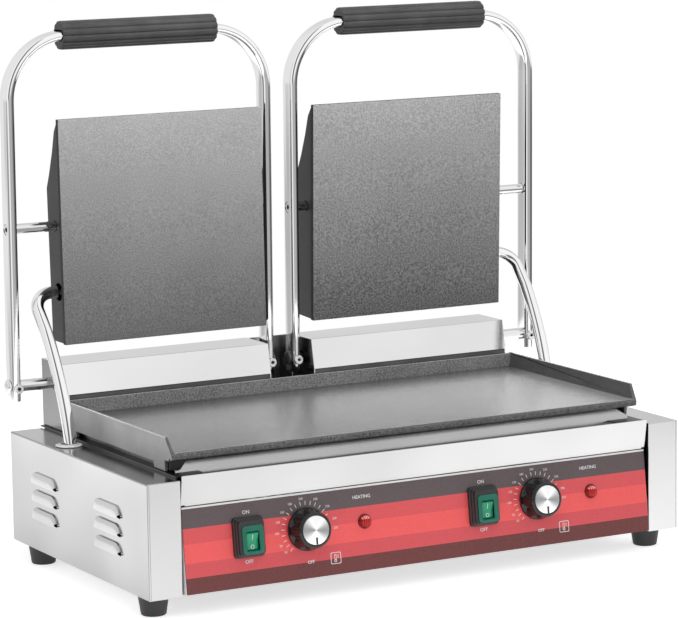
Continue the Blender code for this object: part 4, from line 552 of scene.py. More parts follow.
class Look:
    """A Principled material, with short ways to add nodes to it."""

    def __init__(self, name, colour, roughness, metallic=0.0):
        self.material = bpy.data.materials.new(name)
        self.material.use_nodes = True
        self.material.diffuse_color = rgba(colour)
        self.tree = self.material.node_tree
        self.shader = self.tree.nodes["Principled BSDF"]
        self.set("Base Color", rgba(colour))
        self.set("Roughness", roughness)
        self.set("Metallic", METALLIC.get(name, metallic))
        self.set("Specular IOR Level", SPECULAR.get(name, USUAL_SPECULAR))

    def set(self, socket, value):
        self.shader.inputs[socket].default_value = value

    def join(self, output, socket):
        self.tree.links.new(output, self.shader.inputs[socket])

    def node(self, kind, values=None, **settings):
        return add_node(self.tree, kind, values, **settings)

    def math(self, operation, *terms):
        return self.node("Math", dict(enumerate(terms)), operation=operation).outputs[0]

    def where(self):
        """The place in the piece's own coordinates."""
        return self.node("TexCoord").outputs["Object"]

    def spot(self):
        """That place as X, Y and Z."""
        return self.node("SeparateXYZ", {"Vector": self.where()}).outputs

    def noise(self, stretch, detail=3.0, roughness=0.55):
        """Noise that is as fine as the stretch of each axis, or of all three."""
        scale = stretch if isinstance(stretch, tuple) else (stretch,) * 3
        place = self.node("Mapping", {"Vector": self.where(), "Scale": scale}).outputs["Vector"]
        values = {"Vector": place, "Scale": 1.0, "Detail": detail, "Roughness": roughness}
        return self.node("TexNoise", values).outputs["Fac"]

    def ramp(self, factor, low, high, from_low=0.35, from_high=0.65):
        """A number that goes from low to high as the factor goes between its own bounds."""
        bounds = {"From Min": from_low, "From Max": from_high, "To Min": low, "To Max": high}
        return self.node("MapRange", {"Value": factor, **bounds}).outputs["Result"]

    def along(self, fade, share):
        """A number that goes from 0 to a share along an axis."""
        axis, start, end = fade
        return self.ramp(self.spot()[axis], 0, share, start, end)

    def mix(self, factor, first, second):
        """A colour between two, each of them a tone or a socket."""
        values = {0: factor, 6: rgba(first), 7: rgba(second)}
        return self.node("Mix", values, data_type="RGBA").outputs[2]

    def finish(self, colour, texture, rough, relief, depth=FINE_DEPTH, bounds=(0.35, 0.65)):
        """Joins the colour, and a texture that gives roughness and relief."""
        self.join(colour, "Base Color")
        self.join(self.ramp(texture, *rough, *bounds), "Roughness")
        bump = self.node("Bump", {"Height": texture, "Strength": relief, "Distance": depth})
        self.join(bump.outputs["Normal"], "Normal")
        return self.material


def brushed(name, stretch, dark, pale, rough, relief=0.02, fade=None):
    """Sheet steel with fine streaks along the axis that is stretched least."""
    look = Look(name, pale, rough[0], metallic=1.0)
    streak = look.noise(stretch, detail=2.0)
    share = look.ramp(look.noise(CLOUD_SCALE, detail=1.0), 0, CLOUD_SHARE if fade else 1)
    # The fade is painted shade: the tone darkens along an axis
    if fade:
        share = look.math("ADD", share, look.along(fade, 1 - CLOUD_SHARE))
    return look.finish(look.mix(share, dark, pale), streak, rough, relief, bounds=(0.2, 0.8))


def cast(name, dark, pale, rough, grain, relief, shares=(0.6, 0.4), fade=None, shade=None):
    """Cast iron: a fine grain, a slow change of tone, painted shade along an axis, and painted
    shade that darkens one end.
    """
    look = Look(name, pale, rough[0])
    fine = look.noise(grain, roughness=0.6)
    slow = look.noise(CAST_CLOUD_SCALE, detail=2.0)
    total = look.math("ADD", look.ramp(fine, 0, shares[0]), look.ramp(slow, 0, shares[1]))
    # The fade is painted shade along an axis
    if fade:
        total = look.math("ADD", total, look.along(fade, 1 - sum(shares)))
    colour = look.mix(total, dark, pale)
    # Painted shade: the colour darkens towards one end
    if shade:
        colour = look.mix(look.along(shade, SHADE_SHARE), colour, SHADE_TONE)
    return look.finish(colour, fine, rough, relief, GRAIN_DEPTH)


def plain(name, dark, pale, rough=(0.45, 0.55), grain=900, relief=0.03):
    """Moulded plastic, rubber or coated metal with a fine texture."""
    look = Look(name, pale, rough[0])
    fine = look.noise(grain, detail=2.0)
    slow = look.noise(MOULD_CLOUD_SCALE, detail=2.0)
    return look.finish(look.mix(look.ramp(slow, 0, 1), dark, pale), fine, rough, relief)


def overlay_foil():
    """The printed foil, with a band of another colour at each height."""
    look = Look("overlay_print", (0.7, 0.1, 0.1), 0.30)
    shifted = look.node("VectorMath", {0: look.where(), 1: control}, operation="SUBTRACT")
    height = look.node(
        "VectorMath", {0: shifted.outputs[0], 1: panel_up}, operation="DOT_PRODUCT"
    ).outputs["Value"]
    bands = look.node("ValToRGB", {"Fac": look.ramp(height, 0, 1, -BAND_REACH, BAND_REACH)})
    bands.color_ramp.interpolation = "CONSTANT"
    set_stops(bands, [((bottom + BAND_REACH) / (2 * BAND_REACH), tone) for bottom, tone in BANDS])
    return look.finish(bands.outputs["Color"], look.noise(900, detail=2.0), (0.26, 0.36), 0.05)


def spun_cap():
    """Turned aluminium: rings about the axis, and a painted highlight in light and dark wedges that
    fan out from the middle.
    """
    look = Look("spun_cap", 0.78, 0.28, metallic=1.0)
    look.set("Anisotropic", 0.85)
    tangent = look.node("Tangent", direction_type="RADIAL", axis="Z")
    look.join(tangent.outputs["Tangent"], "Tangent")
    spot = look.spot()
    squares = [look.math("MULTIPLY", spot[axis], spot[axis]) for axis in "XY"]
    radius = look.math("SQRT", look.math("ADD", *squares))
    values = {"W": radius, "Scale": CAP_RINGS, "Detail": 2.0}
    rings = look.node("TexNoise", values, noise_dimensions="1D").outputs["Fac"]
    # Painted highlight: the base colour turns from dark to light with the angle round the axis
    angle = look.math("ARCTAN2", spot["Y"], spot["X"])
    wave = look.math("COSINE", look.math("MULTIPLY_ADD", angle, CAP_HIGHLIGHT_WINGS, CAP_HIGHLIGHT_TURN))
    colour = look.mix(look.ramp(wave, 0, 1, *CAP_HIGHLIGHT_WAVE), *CAP_HIGHLIGHT_TONES)
    return look.finish(colour, rings, (0.22, 0.34), 0.05, CAP_RING_DEPTH)


def fluted_lens():
    """Clear red plastic: painted light shows the flutes inside it as upright stripes, and a painted
    highlight is a pale patch at the top.
    """
    look = Look("red_lens", (0.80, 0.01, 0.01), 0.16)
    spot = look.spot()
    # Painted light: upright stripes of dark and bright red, and a painted highlight patch at the
    # top
    wave = look.math("COSINE", look.math("MULTIPLY", spot["X"], 2 * math.pi / LENS_STRIPE))
    stripes = look.ramp(wave, 0, 1, *LENS_WAVE)
    patch = look.ramp(spot["Y"], 0, 1, *LENS_HIGHLIGHT_SPAN)
    reds, pinks = (look.mix(stripes, *pair) for pair in (LENS_REDS, LENS_HIGHLIGHT_PINKS))
    look.join(look.mix(patch, reds, pinks), "Base Color")
    return look.material


def blackened_shaft():
    """Bright steel at the casings, and painted shade that darkens it towards the middle of the
    press.
    """
    look = Look("shaft_steel", 0.80, 0.15, metallic=1.0)
    reach = look.math("ABSOLUTE", look.spot()["X"])
    look.join(look.mix(look.ramp(reach, 0, 1, *SHAFT_PAINTED_SHADE_SPAN), *SHAFT_PAINTED_SHADE_TONES), "Base Color")
    look.join(look.ramp(look.noise((30, 900, 900)), 0.12, 0.20), "Roughness")
    return look.material


MATERIALS = {
    "overlay": overlay_foil(), "spun_cap": spun_cap(), "red_lens": fluted_lens(),
    "shaft_steel": blackened_shaft(),
}
for make, table in ((brushed, SHEETS), (cast, CASTINGS), (plain, COATINGS)):
    for look_name, row in table.items():
        MATERIALS[look_name] = make(look_name, *row)


# Shapes. A shape is a list of points and a list of faces


def loft(rings, closed=True):
    """Rings of the same number of points, skinned in order."""
    count = len(rings[0])
    points = [p for ring in rings for p in ring]
    faces = []
    for here in range(0, len(points) - count, count):
        for i in range(count):
            j = (i + 1) % count
            faces.append([here + i, here + j, here + count + j, here + count + i])
    if closed:
        faces += [list(range(count)), list(range(len(points) - count, len(points)))]
    return points, faces


def together(shapes):
    points, faces = [], []
    for more_points, more_faces in shapes:
        faces += [[len(points) + i for i in face] for face in more_faces]
        points += list(more_points)
    return points, faces


def moved(shape, place):
    points, faces = shape
    return [place @ Vector(p) for p in points], faces


def mirrored(shape, side):
    points, faces = shape
    return [(side * p[0], p[1], p[2]) for p in points], faces


def arc(x, y, radius, start, sweep, steps):
    angles = [start + sweep * i / steps for i in range(steps + 1)]
    return [(x + radius * math.cos(angle), y + radius * math.sin(angle)) for angle in angles]


def circle(radius, count):
    return arc(0, 0, radius, 0, 2 * math.pi, count)[:-1]


def stadium(half_w, half_d, steps):
    reach = half_d - half_w
    ends = ((reach, 0), (-reach, math.pi))
    return [point for y, start in ends for point in arc(0, y, half_w, start, math.pi, steps)]


def rounded_rectangle(half_w, half_h, corner, steps=6):
    points = []
    quarter = math.pi / 2
    for number, (x, y) in enumerate(((1, 1), (-1, 1), (-1, -1), (1, -1))):
        middle = (x * (half_w - corner), y * (half_h - corner))
        points += arc(*middle, corner, number * quarter, quarter, steps)
    return points


def turned(profile, count, closed=True, wave=None):
    """Rows of radius and level turned about Z: closed at both ends, or back to the first row.

    Where a row has a third number, a wave takes up to that much off its radius, by the angle.
    """
    rings = []
    for radius, level, *depth in profile if closed else [*profile, profile[0]]:
        ring = []
        for i, (c, s) in enumerate(circle(1, count)):
            reach = radius - depth[0] * wave(2 * math.pi * i / count) if depth else radius
            ring.append((reach * c, reach * s, level))
        rings.append(ring)
    return loft(rings, closed)


def ring_shape(radii, height, count):
    outer, inner = radii
    return turned(((outer, 0), (outer, height), (inner, height), (inner, 0)), count, closed=False)


def box_shape(low, high):
    x, y, z = zip(low, high)
    return loft([[(x[0], y[0], c), (x[1], y[0], c), (x[1], y[1], c), (x[0], y[1], c)] for c in z])


def prism_x(outline, low, high):
    return loft([[(x, a, b) for a, b in outline] for x in (low, high)])


def rounded_path(corners, radius, steps):
    """Points along straight runs between corners, with each inner corner rounded."""
    path = [Vector(corners[0])]
    for before, here, after in zip(corners, corners[1:], corners[2:]):
        here = Vector(here)
        back = (Vector(before) - here).normalized()
        ahead = (Vector(after) - here).normalized()
        half = back.angle(ahead) / 2
        centre = here + (back + ahead).normalized() * (radius / math.sin(half))
        first = here + back * (radius / math.tan(half)) - centre
        last = here + ahead * (radius / math.tan(half)) - centre
        sweep = first.angle(last)
        for i in range(steps + 1):
            share = i / steps
            arm = first * math.sin((1 - share) * sweep) + last * math.sin(share * sweep)
            path.append(centre + arm / math.sin(sweep))
    path.append(Vector(corners[-1]))
    return path


def smooth_line(path, steps):
    """A Catmull-Rom line through the points of a path."""
    ends = [path[0] * 2 - path[1], *path, path[-1] * 2 - path[-2]]
    line = []
    for a, b, c, d in zip(ends, ends[1:], ends[2:], ends[3:]):
        square, cube = a * 2 - b * 5 + c * 4 - d, b * 3 - a - c * 3 + d
        for i in range(steps):
            t = i / steps
            line.append((b * 2 + (c - a) * t + square * t * t + cube * t * t * t) / 2)
    line.append(path[-1])
    return line


def swept(path, section):
    """A section of (side, upright) points carried along a path without twist."""
    rings = []
    tangent = (path[1] - path[0]).normalized()
    upright = Vector((0, 1, 0))
    if abs(tangent.y) >= math.cos(math.radians(20)):
        upright = Vector((1, 0, 0))
    for i, point in enumerate(path):
        tangent = (path[min(i + 1, len(path) - 1)] - path[max(i - 1, 0)]).normalized()
        upright = (upright - tangent * upright.dot(tangent)).normalized()
        side = tangent.cross(upright)
        rings.append([point + side * a + upright * b for a, b in section])
    return rings


# Meshes. Each function takes a shape or a mesh


def mesh_of(shape):
    if isinstance(shape, bpy.types.Mesh):
        return shape
    points, faces = shape
    mesh = bpy.data.meshes.new("shape")
    mesh.from_pydata([Vector(p) for p in points], [], faces)
    made = bmesh.new()
    made.from_mesh(mesh)
    bmesh.ops.recalc_face_normals(made, faces=made.faces)
    made.to_mesh(mesh)
    made.free()
    return mesh


def stripped(mesh):
    """The mesh without the materials and colours of the CAD."""
    mesh.materials.clear()
    for attribute in [a.name for a in mesh.color_attributes]:
        mesh.color_attributes.remove(mesh.color_attributes[attribute])
    return mesh


def link(name, data):
    item = bpy.data.objects.new(name, data)
    bpy.context.scene.collection.objects.link(item)
    return item


def evaluated(item):
    """The mesh of an object with its modifiers, or of a curve."""
    bpy.context.view_layer.update()
    state = bpy.context.evaluated_depsgraph_get()
    return bpy.data.meshes.new_from_object(item.evaluated_get(state))


def carved(shape, cuts, joins=()):
    """The mesh with shapes joined to it and cut from it."""
    item = link("blank", mesh_of(shape))
    helpers = []
    for operation, tools in (("UNION", joins), ("DIFFERENCE", cuts)):
        for tool in tools:
            helpers.append(link("tool", mesh_of(tool)))
            modifier = item.modifiers.new("boolean", "BOOLEAN")
            modifier.operation = operation
            modifier.solver = "EXACT"
            modifier.object = helpers[-1]
    result = evaluated(item)
    for helper in [item, *helpers]:
        bpy.data.objects.remove(helper)
    return stripped(result)


def softened(shape, width, segments=2, angle_deg=30, edge_slot=-1):
    """Rounds the edges that are sharper than an angle."""
    mesh = mesh_of(shape)
    made = bmesh.new()
    made.from_mesh(mesh)
    bmesh.ops.remove_doubles(made, verts=made.verts, dist=2 * TINY)
    bmesh.ops.dissolve_limit(
        made, angle_limit=math.radians(1), verts=made.verts, edges=made.edges, delimit={"NORMAL"}
    )
    sharp = math.radians(angle_deg)
    edges = [e for e in made.edges if len(e.link_faces) == 2 and e.calc_face_angle() > sharp]
    bmesh.ops.bevel(
        made, geom=edges, offset=width, segments=segments, profile=0.5, affect="EDGES",
        clamp_overlap=False, material=edge_slot,
    )
    made.to_mesh(mesh)
    made.free()
    return mesh


def add_piece(
    name, shape, look, body="base", place=None, smooth_deg=35, replaces=()
):
    """A piece that rides on a body."""
    mesh = mesh_of(shape)
    mesh.polygons.foreach_set("use_smooth", [True] * len(mesh.polygons))
    mesh.set_sharp_from_angle(angle=math.radians(smooth_deg))
    piece = link(name, mesh)
    if place is not None:
        piece.matrix_world = place
    mesh.materials.append(MATERIALS[look])
    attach(piece, body)
    if replaces:
        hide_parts(*replaces)
    return piece


def on_node(node, ending, shape, look, place=None, smooth_deg=35, replaces=True):
    """A piece on the body of a CAD node, which it stands for or adds to."""
    nodes = [node] if replaces else []
    body, slot = NODES[node]["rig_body"], NODE_SLOTS[node]
    return add_piece(f"{node}_{ending}", shape, look, body, place, smooth_deg, nodes)


def weight_normals(piece):
    modifier = piece.modifiers.new("weighted_normals", "WEIGHTED_NORMAL")
    modifier.keep_sharp = True
    modifier.weight = 100
    return piece


def refined(node, look, width, segments=2, smooth_deg=40, edge_look=None):
    """A copy of a CAD node with rounded edges, which stands for it."""
    mesh = softened(NODES[node].data.copy(), width, segments, edge_slot=1 if edge_look else -1)
    slots = [face.material_index if edge_look else 0 for face in mesh.polygons]
    piece = on_node(node, "skin", stripped(mesh), look, smooth_deg=smooth_deg)
    if edge_look:
        mesh.materials.append(MATERIALS[edge_look])
    mesh.polygons.foreach_set("material_index", slots)
    return weight_normals(piece)


def paint(piece, looks, look_of):
    """Gives a piece more looks. look_of names the look of a face, or none to leave the face."""
    slots = {}
    for look in looks:
        slots[look] = len(piece.data.materials)
        piece.data.materials.append(MATERIALS[look])
    for face in piece.data.polygons:
        look = look_of(face)
        if look:
            face.material_index = slots[look]


def dress(node, look):
    """A CAD node that is shown as it is, with a procedural material."""
    mesh = NODES[node].data
    mesh.materials.clear()
    mesh.materials.append(MATERIALS[look])


# Pieces


def lid_frame(name, side):
    """The bent tube, open at its ends, with a hole for the axle in each leg."""
    corners = [
        (OUTER_LEG_X, 0, -LEG_DROP), (OUTER_LEG_X, 0, LID_TOP),
        (INNER_LEG_X, 0, LID_TOP), (INNER_LEG_X, 0, -LEG_DROP),
    ]
    path = rounded_path(corners, LID_CORNER_R, LID_CORNER_STEPS)
    sections = [
        stadium(TUBE_HALF_W - inset, TUBE_HALF_D - inset, TUBE_END_STEPS)
        for inset in (0, TUBE_WALL)
    ]
    skins = [loft(swept(path, section), closed=False) for section in sections]
    points, faces = together(skins)
    inner = len(skins[0][0])
    count = inner // len(path)
    for level in (0, inner - count):
        for i in range(count):
            here, ahead = level + i, level + (i + 1) % count
            faces.append([here, ahead, inner + ahead, inner + here])
    low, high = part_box(f"plate_axle_{name}")
    hole = circle((high.z - low.z) / 2 + HOLE_CLEAR, 32)
    past = OUTER_LEG_X + 2 * TUBE_HALF_D
    cut = loft([[(side * x, a, AXLE_UP + b) for a, b in hole] for x in (0, past)])
    tube = carved(mirrored((points, faces), side), [cut])
    on_node(f"lid_frame_{name}", "tube", tube, "tube_steel", LID, 30)


def grip(name):
    """The ribbed sleeve, with a shallow bore for the tube at each end."""
    node = f"grip_{name}"
    low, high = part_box(node)
    middle, half = (low + high) / 2, (high - low) / 2
    levels = [(low.x + reach, share) for reach, share in GRIP_ENDS]
    levels += [(high.x - reach, share) for reach, share in reversed(GRIP_ENDS)]
    rings = []
    for x, share in levels:
        ring = []
        for i, (c, s) in enumerate(circle(1, GRIP_RIBS * GRIP_RIB_POINTS)):
            groove = GRIP_GROOVE * (1 - math.sqrt(abs(math.sin(math.pi * i / GRIP_RIB_POINTS))))
            across, up = half.y * share - groove, half.z * share - groove
            ring.append((x, middle.y + across * c, middle.z + up * s))
        rings.append(ring)
    bore = stadium(TUBE_HALF_W + GRIP_BORE_CLEAR, TUBE_HALF_D + GRIP_BORE_CLEAR, GRIP_BORE_STEPS)
    outline = [(middle.y + b, middle.z + a) for a, b in bore]
    cuts = [
        prism_x(outline, low.x - 1, low.x + GRIP_BORE_DEPTH),
        prism_x(outline, high.x - GRIP_BORE_DEPTH, high.x + 1),
    ]
    on_node(node, "sleeve", carved(loft(rings), cuts), "grip_rubber", smooth_deg=50)


def conduit(name, side):
    """The bent pipe, on the line that slides through the casing's hole as the lid closes."""
    node = f"conduit_{name}"
    washer_at = centre_of(f"conduit_washer_{name}")
    hole = Vector((washer_at.y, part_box(f"end_casing_{name}")[1].z + CONDUIT_HOLE_UP))
    hinge, start = Vector((pivot.y, pivot.z)), Vector((entry.y, entry.z))
    line = []
    for i in range(CONDUIT_STEPS):
        angle = (math.pi / 2 - LEAN) * i / (CONDUIT_STEPS - 1)
        entry_now = hinge + Matrix.Rotation(angle, 2) @ (start - hinge)
        line.append(start + Matrix.Rotation(-CONDUIT_SHARE * angle, 2) @ (hole - entry_now))
    tail = line[0] + (line[0] - line[1]).normalized() * CONDUIT_TAIL
    inside_x, outside_x = sorted(abs(corner.x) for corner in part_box(node))
    top_x, low_x = outside_x - CONDUIT_R, abs(washer_at.x) - CONDUIT_LOW_IN
    points = []
    for spot in [tail, *line]:
        share = (spot.y - line[0].y) / (start.y - line[0].y)
        points.append(Vector((low_x + (top_x - low_x) * share, spot.x, spot.y)))
    run = smooth_line(points, CONDUIT_LINE_STEPS)
    corners = [run[-1], (top_x, start.x, start.y), (inside_x, start.x, start.y)]
    path = run + rounded_path(corners, CONDUIT_BEND_R, CONDUIT_BEND_STEPS)[1:]
    pipe = loft(swept(path, circle(CONDUIT_R, CONDUIT_SIDES)))
    on_node(node, "pipe", mirrored(pipe, side), "tube_steel")


def washer(name):
    """The flanged ring round the conduit's hole."""
    node = f"conduit_washer_{name}"
    low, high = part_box(node)
    middle, outer, height = (low + high) / 2, (high.x - low.x) / 2, high.z - low.z
    profile = [(outer - inset, level) for inset, level in WASHER_FLANGE]
    profile += [(outer - inset, height - depth) for inset, depth in WASHER_COLLAR]
    place = Matrix.Translation((middle.x, middle.y, low.z))
    on_node(node, "ring", turned(profile, 48, closed=False), "washer_metal", place, 40)


def louvre_shape(middle_y, middle_z, x, inset=0.0):
    """A raised hood with rounded ends, cut off flat along its bottom."""
    half, out = LOUVRE_LENGTH / 2 - inset, LOUVRE_OUT - inset
    rise, bottom = LOUVRE_UP + LOUVRE_DOWN, middle_z - LOUVRE_DOWN - inset
    back = x - 2 * CASING_SHEET
    quarter = [math.pi / 2 * i / LOUVRE_STEPS for i in range(LOUVRE_STEPS + 1)]
    end = [(half - rise * (1 - math.sin(a)), max(math.cos(a), LOUVRE_TIP_SHARE)) for a in quarter]
    rings = []
    for along, share in [(-y, share) for y, share in reversed(end)] + end:
        y = middle_y + along
        ring = [(back, y, bottom)]
        for a in quarter:
            reach = out * math.sqrt(share) * math.cos(a) ** LOUVRE_FLATNESS
            ring.append((x + reach, y, bottom + rise * share * math.sin(a)))
        ring.append((back, y, bottom + rise * share))
        rings.append(ring)
    return loft(rings)


def end_casing(name, side):
    """The folded casing, cut and joined as on the right, and then mirrored for the left."""
    node = f"end_casing_{name}"
    low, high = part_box(node)
    inner_x, reach_x = sorted((abs(low.x), abs(high.x)))
    outer_x = reach_x - LOUVRE_OUT
    sheet = CASING_SHEET
    hole_at = centre_of(f"conduit_washer_{name}")
    places = [
        (low.y + (high.y - low.y) * column, low.z + (high.z - low.z) * row)
        for column in LOUVRE_COLUMN_SHARES
        for row in LOUVRE_ROW_SHARES
    ]
    cuts = [
        box_shape(
            (inner_x - sheet, low.y + sheet, low.z + sheet),
            (outer_x - sheet, high.y - sheet, high.z - sheet),
        ),
        loft([
            [(abs(hole_at.x) + a, hole_at.y + b, z) for a, b in circle(CASING_HOLE_R, 40)]
            for z in (high.z - 3 * sheet, high.z + sheet)
        ]),
        box_shape(
            (outer_x - SEAM_IN, low.y - sheet, low.z + CASING_EDGE),
            (outer_x - SEAM_IN + SEAM_W, low.y + sheet / 2, high.z - CASING_EDGE),
        ),
        box_shape(
            (outer_x - sheet / 2, low.y + SEAM_W, high.z - SEAM_TOP_IN - SEAM_W),
            (outer_x + sheet, high.y - SEAM_W, high.z - SEAM_TOP_IN),
        ),
    ]
    cuts += [louvre_shape(y, z, outer_x, LOUVRE_WALL) for y, z in places]
    for y, z in places:
        eye_x, eye_z = outer_x + LOUVRE_OUT * LOUVRE_EYE_SHARE, z - LOUVRE_DOWN + LOUVRE_EYE_R
        ends = (y - LOUVRE_LENGTH / 2 - LOUVRE_OUT, y - LOUVRE_LENGTH / 4)
        eye = circle(LOUVRE_EYE_R, 16)
        cuts.append(loft([[(eye_x + a, end, eye_z + b) for a, b in eye] for end in ends]))
    blank = softened(box_shape((inner_x, low.y, low.z), (outer_x, high.y, high.z)), CASING_EDGE, 4)
    mesh = carved(blank, cuts, joins=[louvre_shape(y, z, outer_x) for y, z in places])
    made = bmesh.new()
    made.from_mesh(mesh)
    bmesh.ops.scale(made, vec=(side, 1, 1), verts=made.verts)
    if side == LEFT:
        bmesh.ops.reverse_faces(made, faces=made.faces)
    made.to_mesh(mesh)
    made.free()

    # Painted light and shade: louvres lighter with darker rims, darker edge lines at the top and
    # front, and side faces darker towards the bottom
    def look_of(face):
        reach, sideways = abs(face.center.x) - outer_x, abs(face.normal.x)
        on_top = face.center.z > high.z - CASING_EDGE and abs(face.normal.z) > EDGE_LINE_SHARE
        in_front = face.center.y < low.y + CASING_EDGE and face.normal.y < -EDGE_LINE_SHARE
        if reach > TINY:
            return "louvre_rim_steel" if reach < LOUVRE_RIM_SHARE * LOUVRE_OUT else "louvre_steel"
        if reach > -CASING_EDGE and (on_top or in_front) and sideways > EDGE_LINE_SHARE:
            return "side_steel"
        if reach > -CASING_EDGE and sideways > SIDE_FACE_SHARE:
            return "casing_side_steel"
        return None

    piece = on_node(node, "shell", mesh, "casing_steel", smooth_deg=32)
    paint(piece, ("side_steel", "louvre_steel", "louvre_rim_steel", "casing_side_steel"), look_of)
    weight_normals(piece)


def knob(name, side):
    """The scalloped knob, its spun cap and the pointer on the cap."""
    place = panel_place(side * GROUP_X)
    body = turned(
        KNOB_LEVELS, KNOB_POINTS, wave=lambda angle: max(0.0, -math.cos(KNOB_LOBES * angle))
    )
    on_node(f"knob_{name}", "body", body, "knob_plastic", place, 40)
    on_node(f"knob_cap_{name}", "disc", turned(CAP_PROFILE, KNOB_POINTS), "spun_cap", place, 25)
    pointer = softened(box_shape(*POINTER_BOX), width=0.00008, segments=1)
    add_piece(
        f"knob_pointer_{name}", pointer, "pointer_ink", f"knob_set_{name}", place, 40
    )


def switch_frame(name, side):
    """The teal frame round the rocker, on the front of the hood."""
    half_w, half_h, corner = FRAME_SIZE
    rings = []
    for inset, out in FRAME_LEVELS:
        outline = rounded_rectangle(half_w - inset, half_h - inset, corner)
        rings.append([(a, b, HOOD_OUT + out) for a, b in outline])
    for inset, out in WINDOW_LEVELS:
        window = rounded_rectangle(WINDOW_HALF_W + inset, WINDOW_HALF_H + inset, WINDOW_CORNER)
        rings.append([(a, b - WINDOW_DROP, HOOD_OUT + out) for a, b in window])
    shape = loft([*rings, rings[0]], closed=False)
    place = panel_place(side * GROUP_X + SWITCH_SIDE + FRAME_ACROSS, FRAME_UP)
    add_piece(
        f"switch_frame_{name}", shape, "teal_plastic",
        place=place, smooth_deg=30,
    )


def rocker(name):
    """The green key: a shallow V in front, with a line above and a ring below."""
    middle = Vector(JOINTS[f"rocker_press_{name}"]["pos_m"])
    x = middle.x + FRAME_ACROSS
    outline = [(middle.y - out, middle.z + up) for out, up in (*KEY_TOP, KEY_FOLD, *KEY_FOOT)]
    key = prism_x(outline, x - KEY_HALF_W, x + KEY_HALF_W)
    key = softened(key, width=0.0005, segments=3, angle_deg=12)
    on_node(f"rocker_{name}", "key", key, "green_plastic", smooth_deg=60)
    a, b = KEY_LINE_HALF
    marks = []
    for up, corner, mark in (
        (KEY_LINE_UP, KEY_TOP[-1], box_shape((-a, -b, 0), (a, b, PROUD))),
        (KEY_RING_UP, KEY_FOOT[0], ring_shape(KEY_RING_RADII, PROUD, 32)),
    ):
        slope = (corner[0] - KEY_FOLD[0]) / (corner[1] - KEY_FOLD[1])
        out = KEY_FOLD[0] + (up - KEY_FOLD[1]) * slope - PROUD / 4
        turn = Matrix.Rotation(math.pi / 2 + math.atan(slope), 4, "X")
        marks.append(moved(mark, Matrix.Translation((x, middle.y - out, middle.z + up)) @ turn))
    add_piece(
        f"rocker_marks_{name}", together(marks), "ink",
        f"rocker_key_{name}", smooth_deg=30,
    )


def switch_hood(name, side):
    """The black hood, its pocket longer than the solid's, for the long key."""
    node = f"switch_body_{name}"
    place = panel_place(side * GROUP_X + SWITCH_SIDE + FRAME_ACROSS)
    blank = softened(NODES[node].data.copy(), width=0.0003, segments=2, angle_deg=28)
    hood = carved(blank, [moved(box_shape(POCKET_LOW, POCKET_HIGH), place)])
    weight_normals(on_node(node, "skin", hood, "black_plastic", smooth_deg=40))


def pilot_lamp(name, side):
    """A dark rim and a red lens with flutes round its edge."""
    place = panel_place(side * GROUP_X + LAMP_SIDE)
    rim = turned(LAMP_RIM, 48, closed=False)
    add_piece(f"lamp_rim_{name}", rim, "lamp_rim", place=place, smooth_deg=40)
    lens = turned(
        LENS_LEVELS, LENS_POINTS, wave=lambda angle: abs(math.sin(LENS_FLUTES / 2 * angle))
    )
    add_piece(
        f"lamp_lens_{name}", lens, "red_lens", place=place,
        replaces=[f"pilot_lamp_{name}"],
    )


def bolt_head(node, place, radius):
    """A round head with a hexagon socket. Its top faces the place's +Z."""
    edge, socket = radius * BOLT_EDGE_SHARE, radius * SOCKET_SHARE
    mouth, throat = (socket * share for share in SOCKET_MOUTH_SHARES)
    profile = (
        (radius * BOLT_FOOT_SHARE, 0.0), (radius, edge / 2), (radius, HEAD_HEIGHT - edge),
        (radius - edge, HEAD_HEIGHT), (mouth, HEAD_HEIGHT), (throat, HEAD_HEIGHT - edge / 2),
        (socket, HEAD_HEIGHT - edge / 2, socket),
        (socket, HEAD_HEIGHT * SOCKET_FLOOR_SHARE, socket),
    )

    def hexagon(angle):
        """How far a hexagon lies inside the circle round it, as a share of the radius."""
        return 1 - math.cos(math.pi / 6) / math.cos(angle % (math.pi / 3) - math.pi / 6)

    head = turned(profile, HEAD_POINTS, wave=hexagon)
    piece = on_node(node, "head", head, "bolt_steel", place, replaces=False)

    def look_of(face):
        corners = [piece.data.vertices[i].co for i in face.vertices]
        spread = max(math.hypot(p.x, p.y) for p in corners)
        levels = sorted(p.z for p in corners)
        in_socket = spread < socket * 1.01 and 0 < levels[-1] < HEAD_HEIGHT - edge / 4
        return "socket_shade" if in_socket else None

    paint(piece, ["socket_shade"], look_of)


def leg_hardware(name, side):
    """Bolt heads on the legs, and screw heads on the shaft, the inner one painted dark as shade."""
    for which in ("outer", "inner"):
        node = f"leg_bolt_{which}_{name}"
        low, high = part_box(node)
        middle = (low + high) / 2
        spot = (middle.x, low.y + HEAD_HEIGHT, middle.z - BOLT_HEAD_MORE)
        turn = Matrix.Rotation(math.pi / 2, 4, "X")
        place = Matrix.Translation(spot) @ turn @ Matrix.Translation((0, 0, PROUD))
        dress(node, "screw_steel")
        bolt_head(node, place, (high.x - low.x) / 2 + BOLT_HEAD_MORE)
    shaft = f"pivot_shaft_{name}"
    low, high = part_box(shaft)
    middle = (low + high) / 2
    cross = [
        box_shape((-a, -b, CROSS_FLOOR), (a, b, CROSS_TOP))
        for a, b in ((CROSS_LENGTH, CROSS_WIDTH), (CROSS_WIDTH, CROSS_LENGTH))
    ]
    for ending, end, x in (("low", LEFT, low.x), ("high", RIGHT, high.x)):
        spot = (x - end * HEAD_HEIGHT, middle.y, middle.z)
        place = Matrix.Translation(spot) @ Matrix.Rotation(end * math.pi / 2, 4, "Y")
        look = "screw_steel" if end == side else "shade_steel"
        head = carved(turned(PAN_PROFILE, 48), cross)
        on_node(shaft, f"head_{ending}", head, look, place, replaces=False)


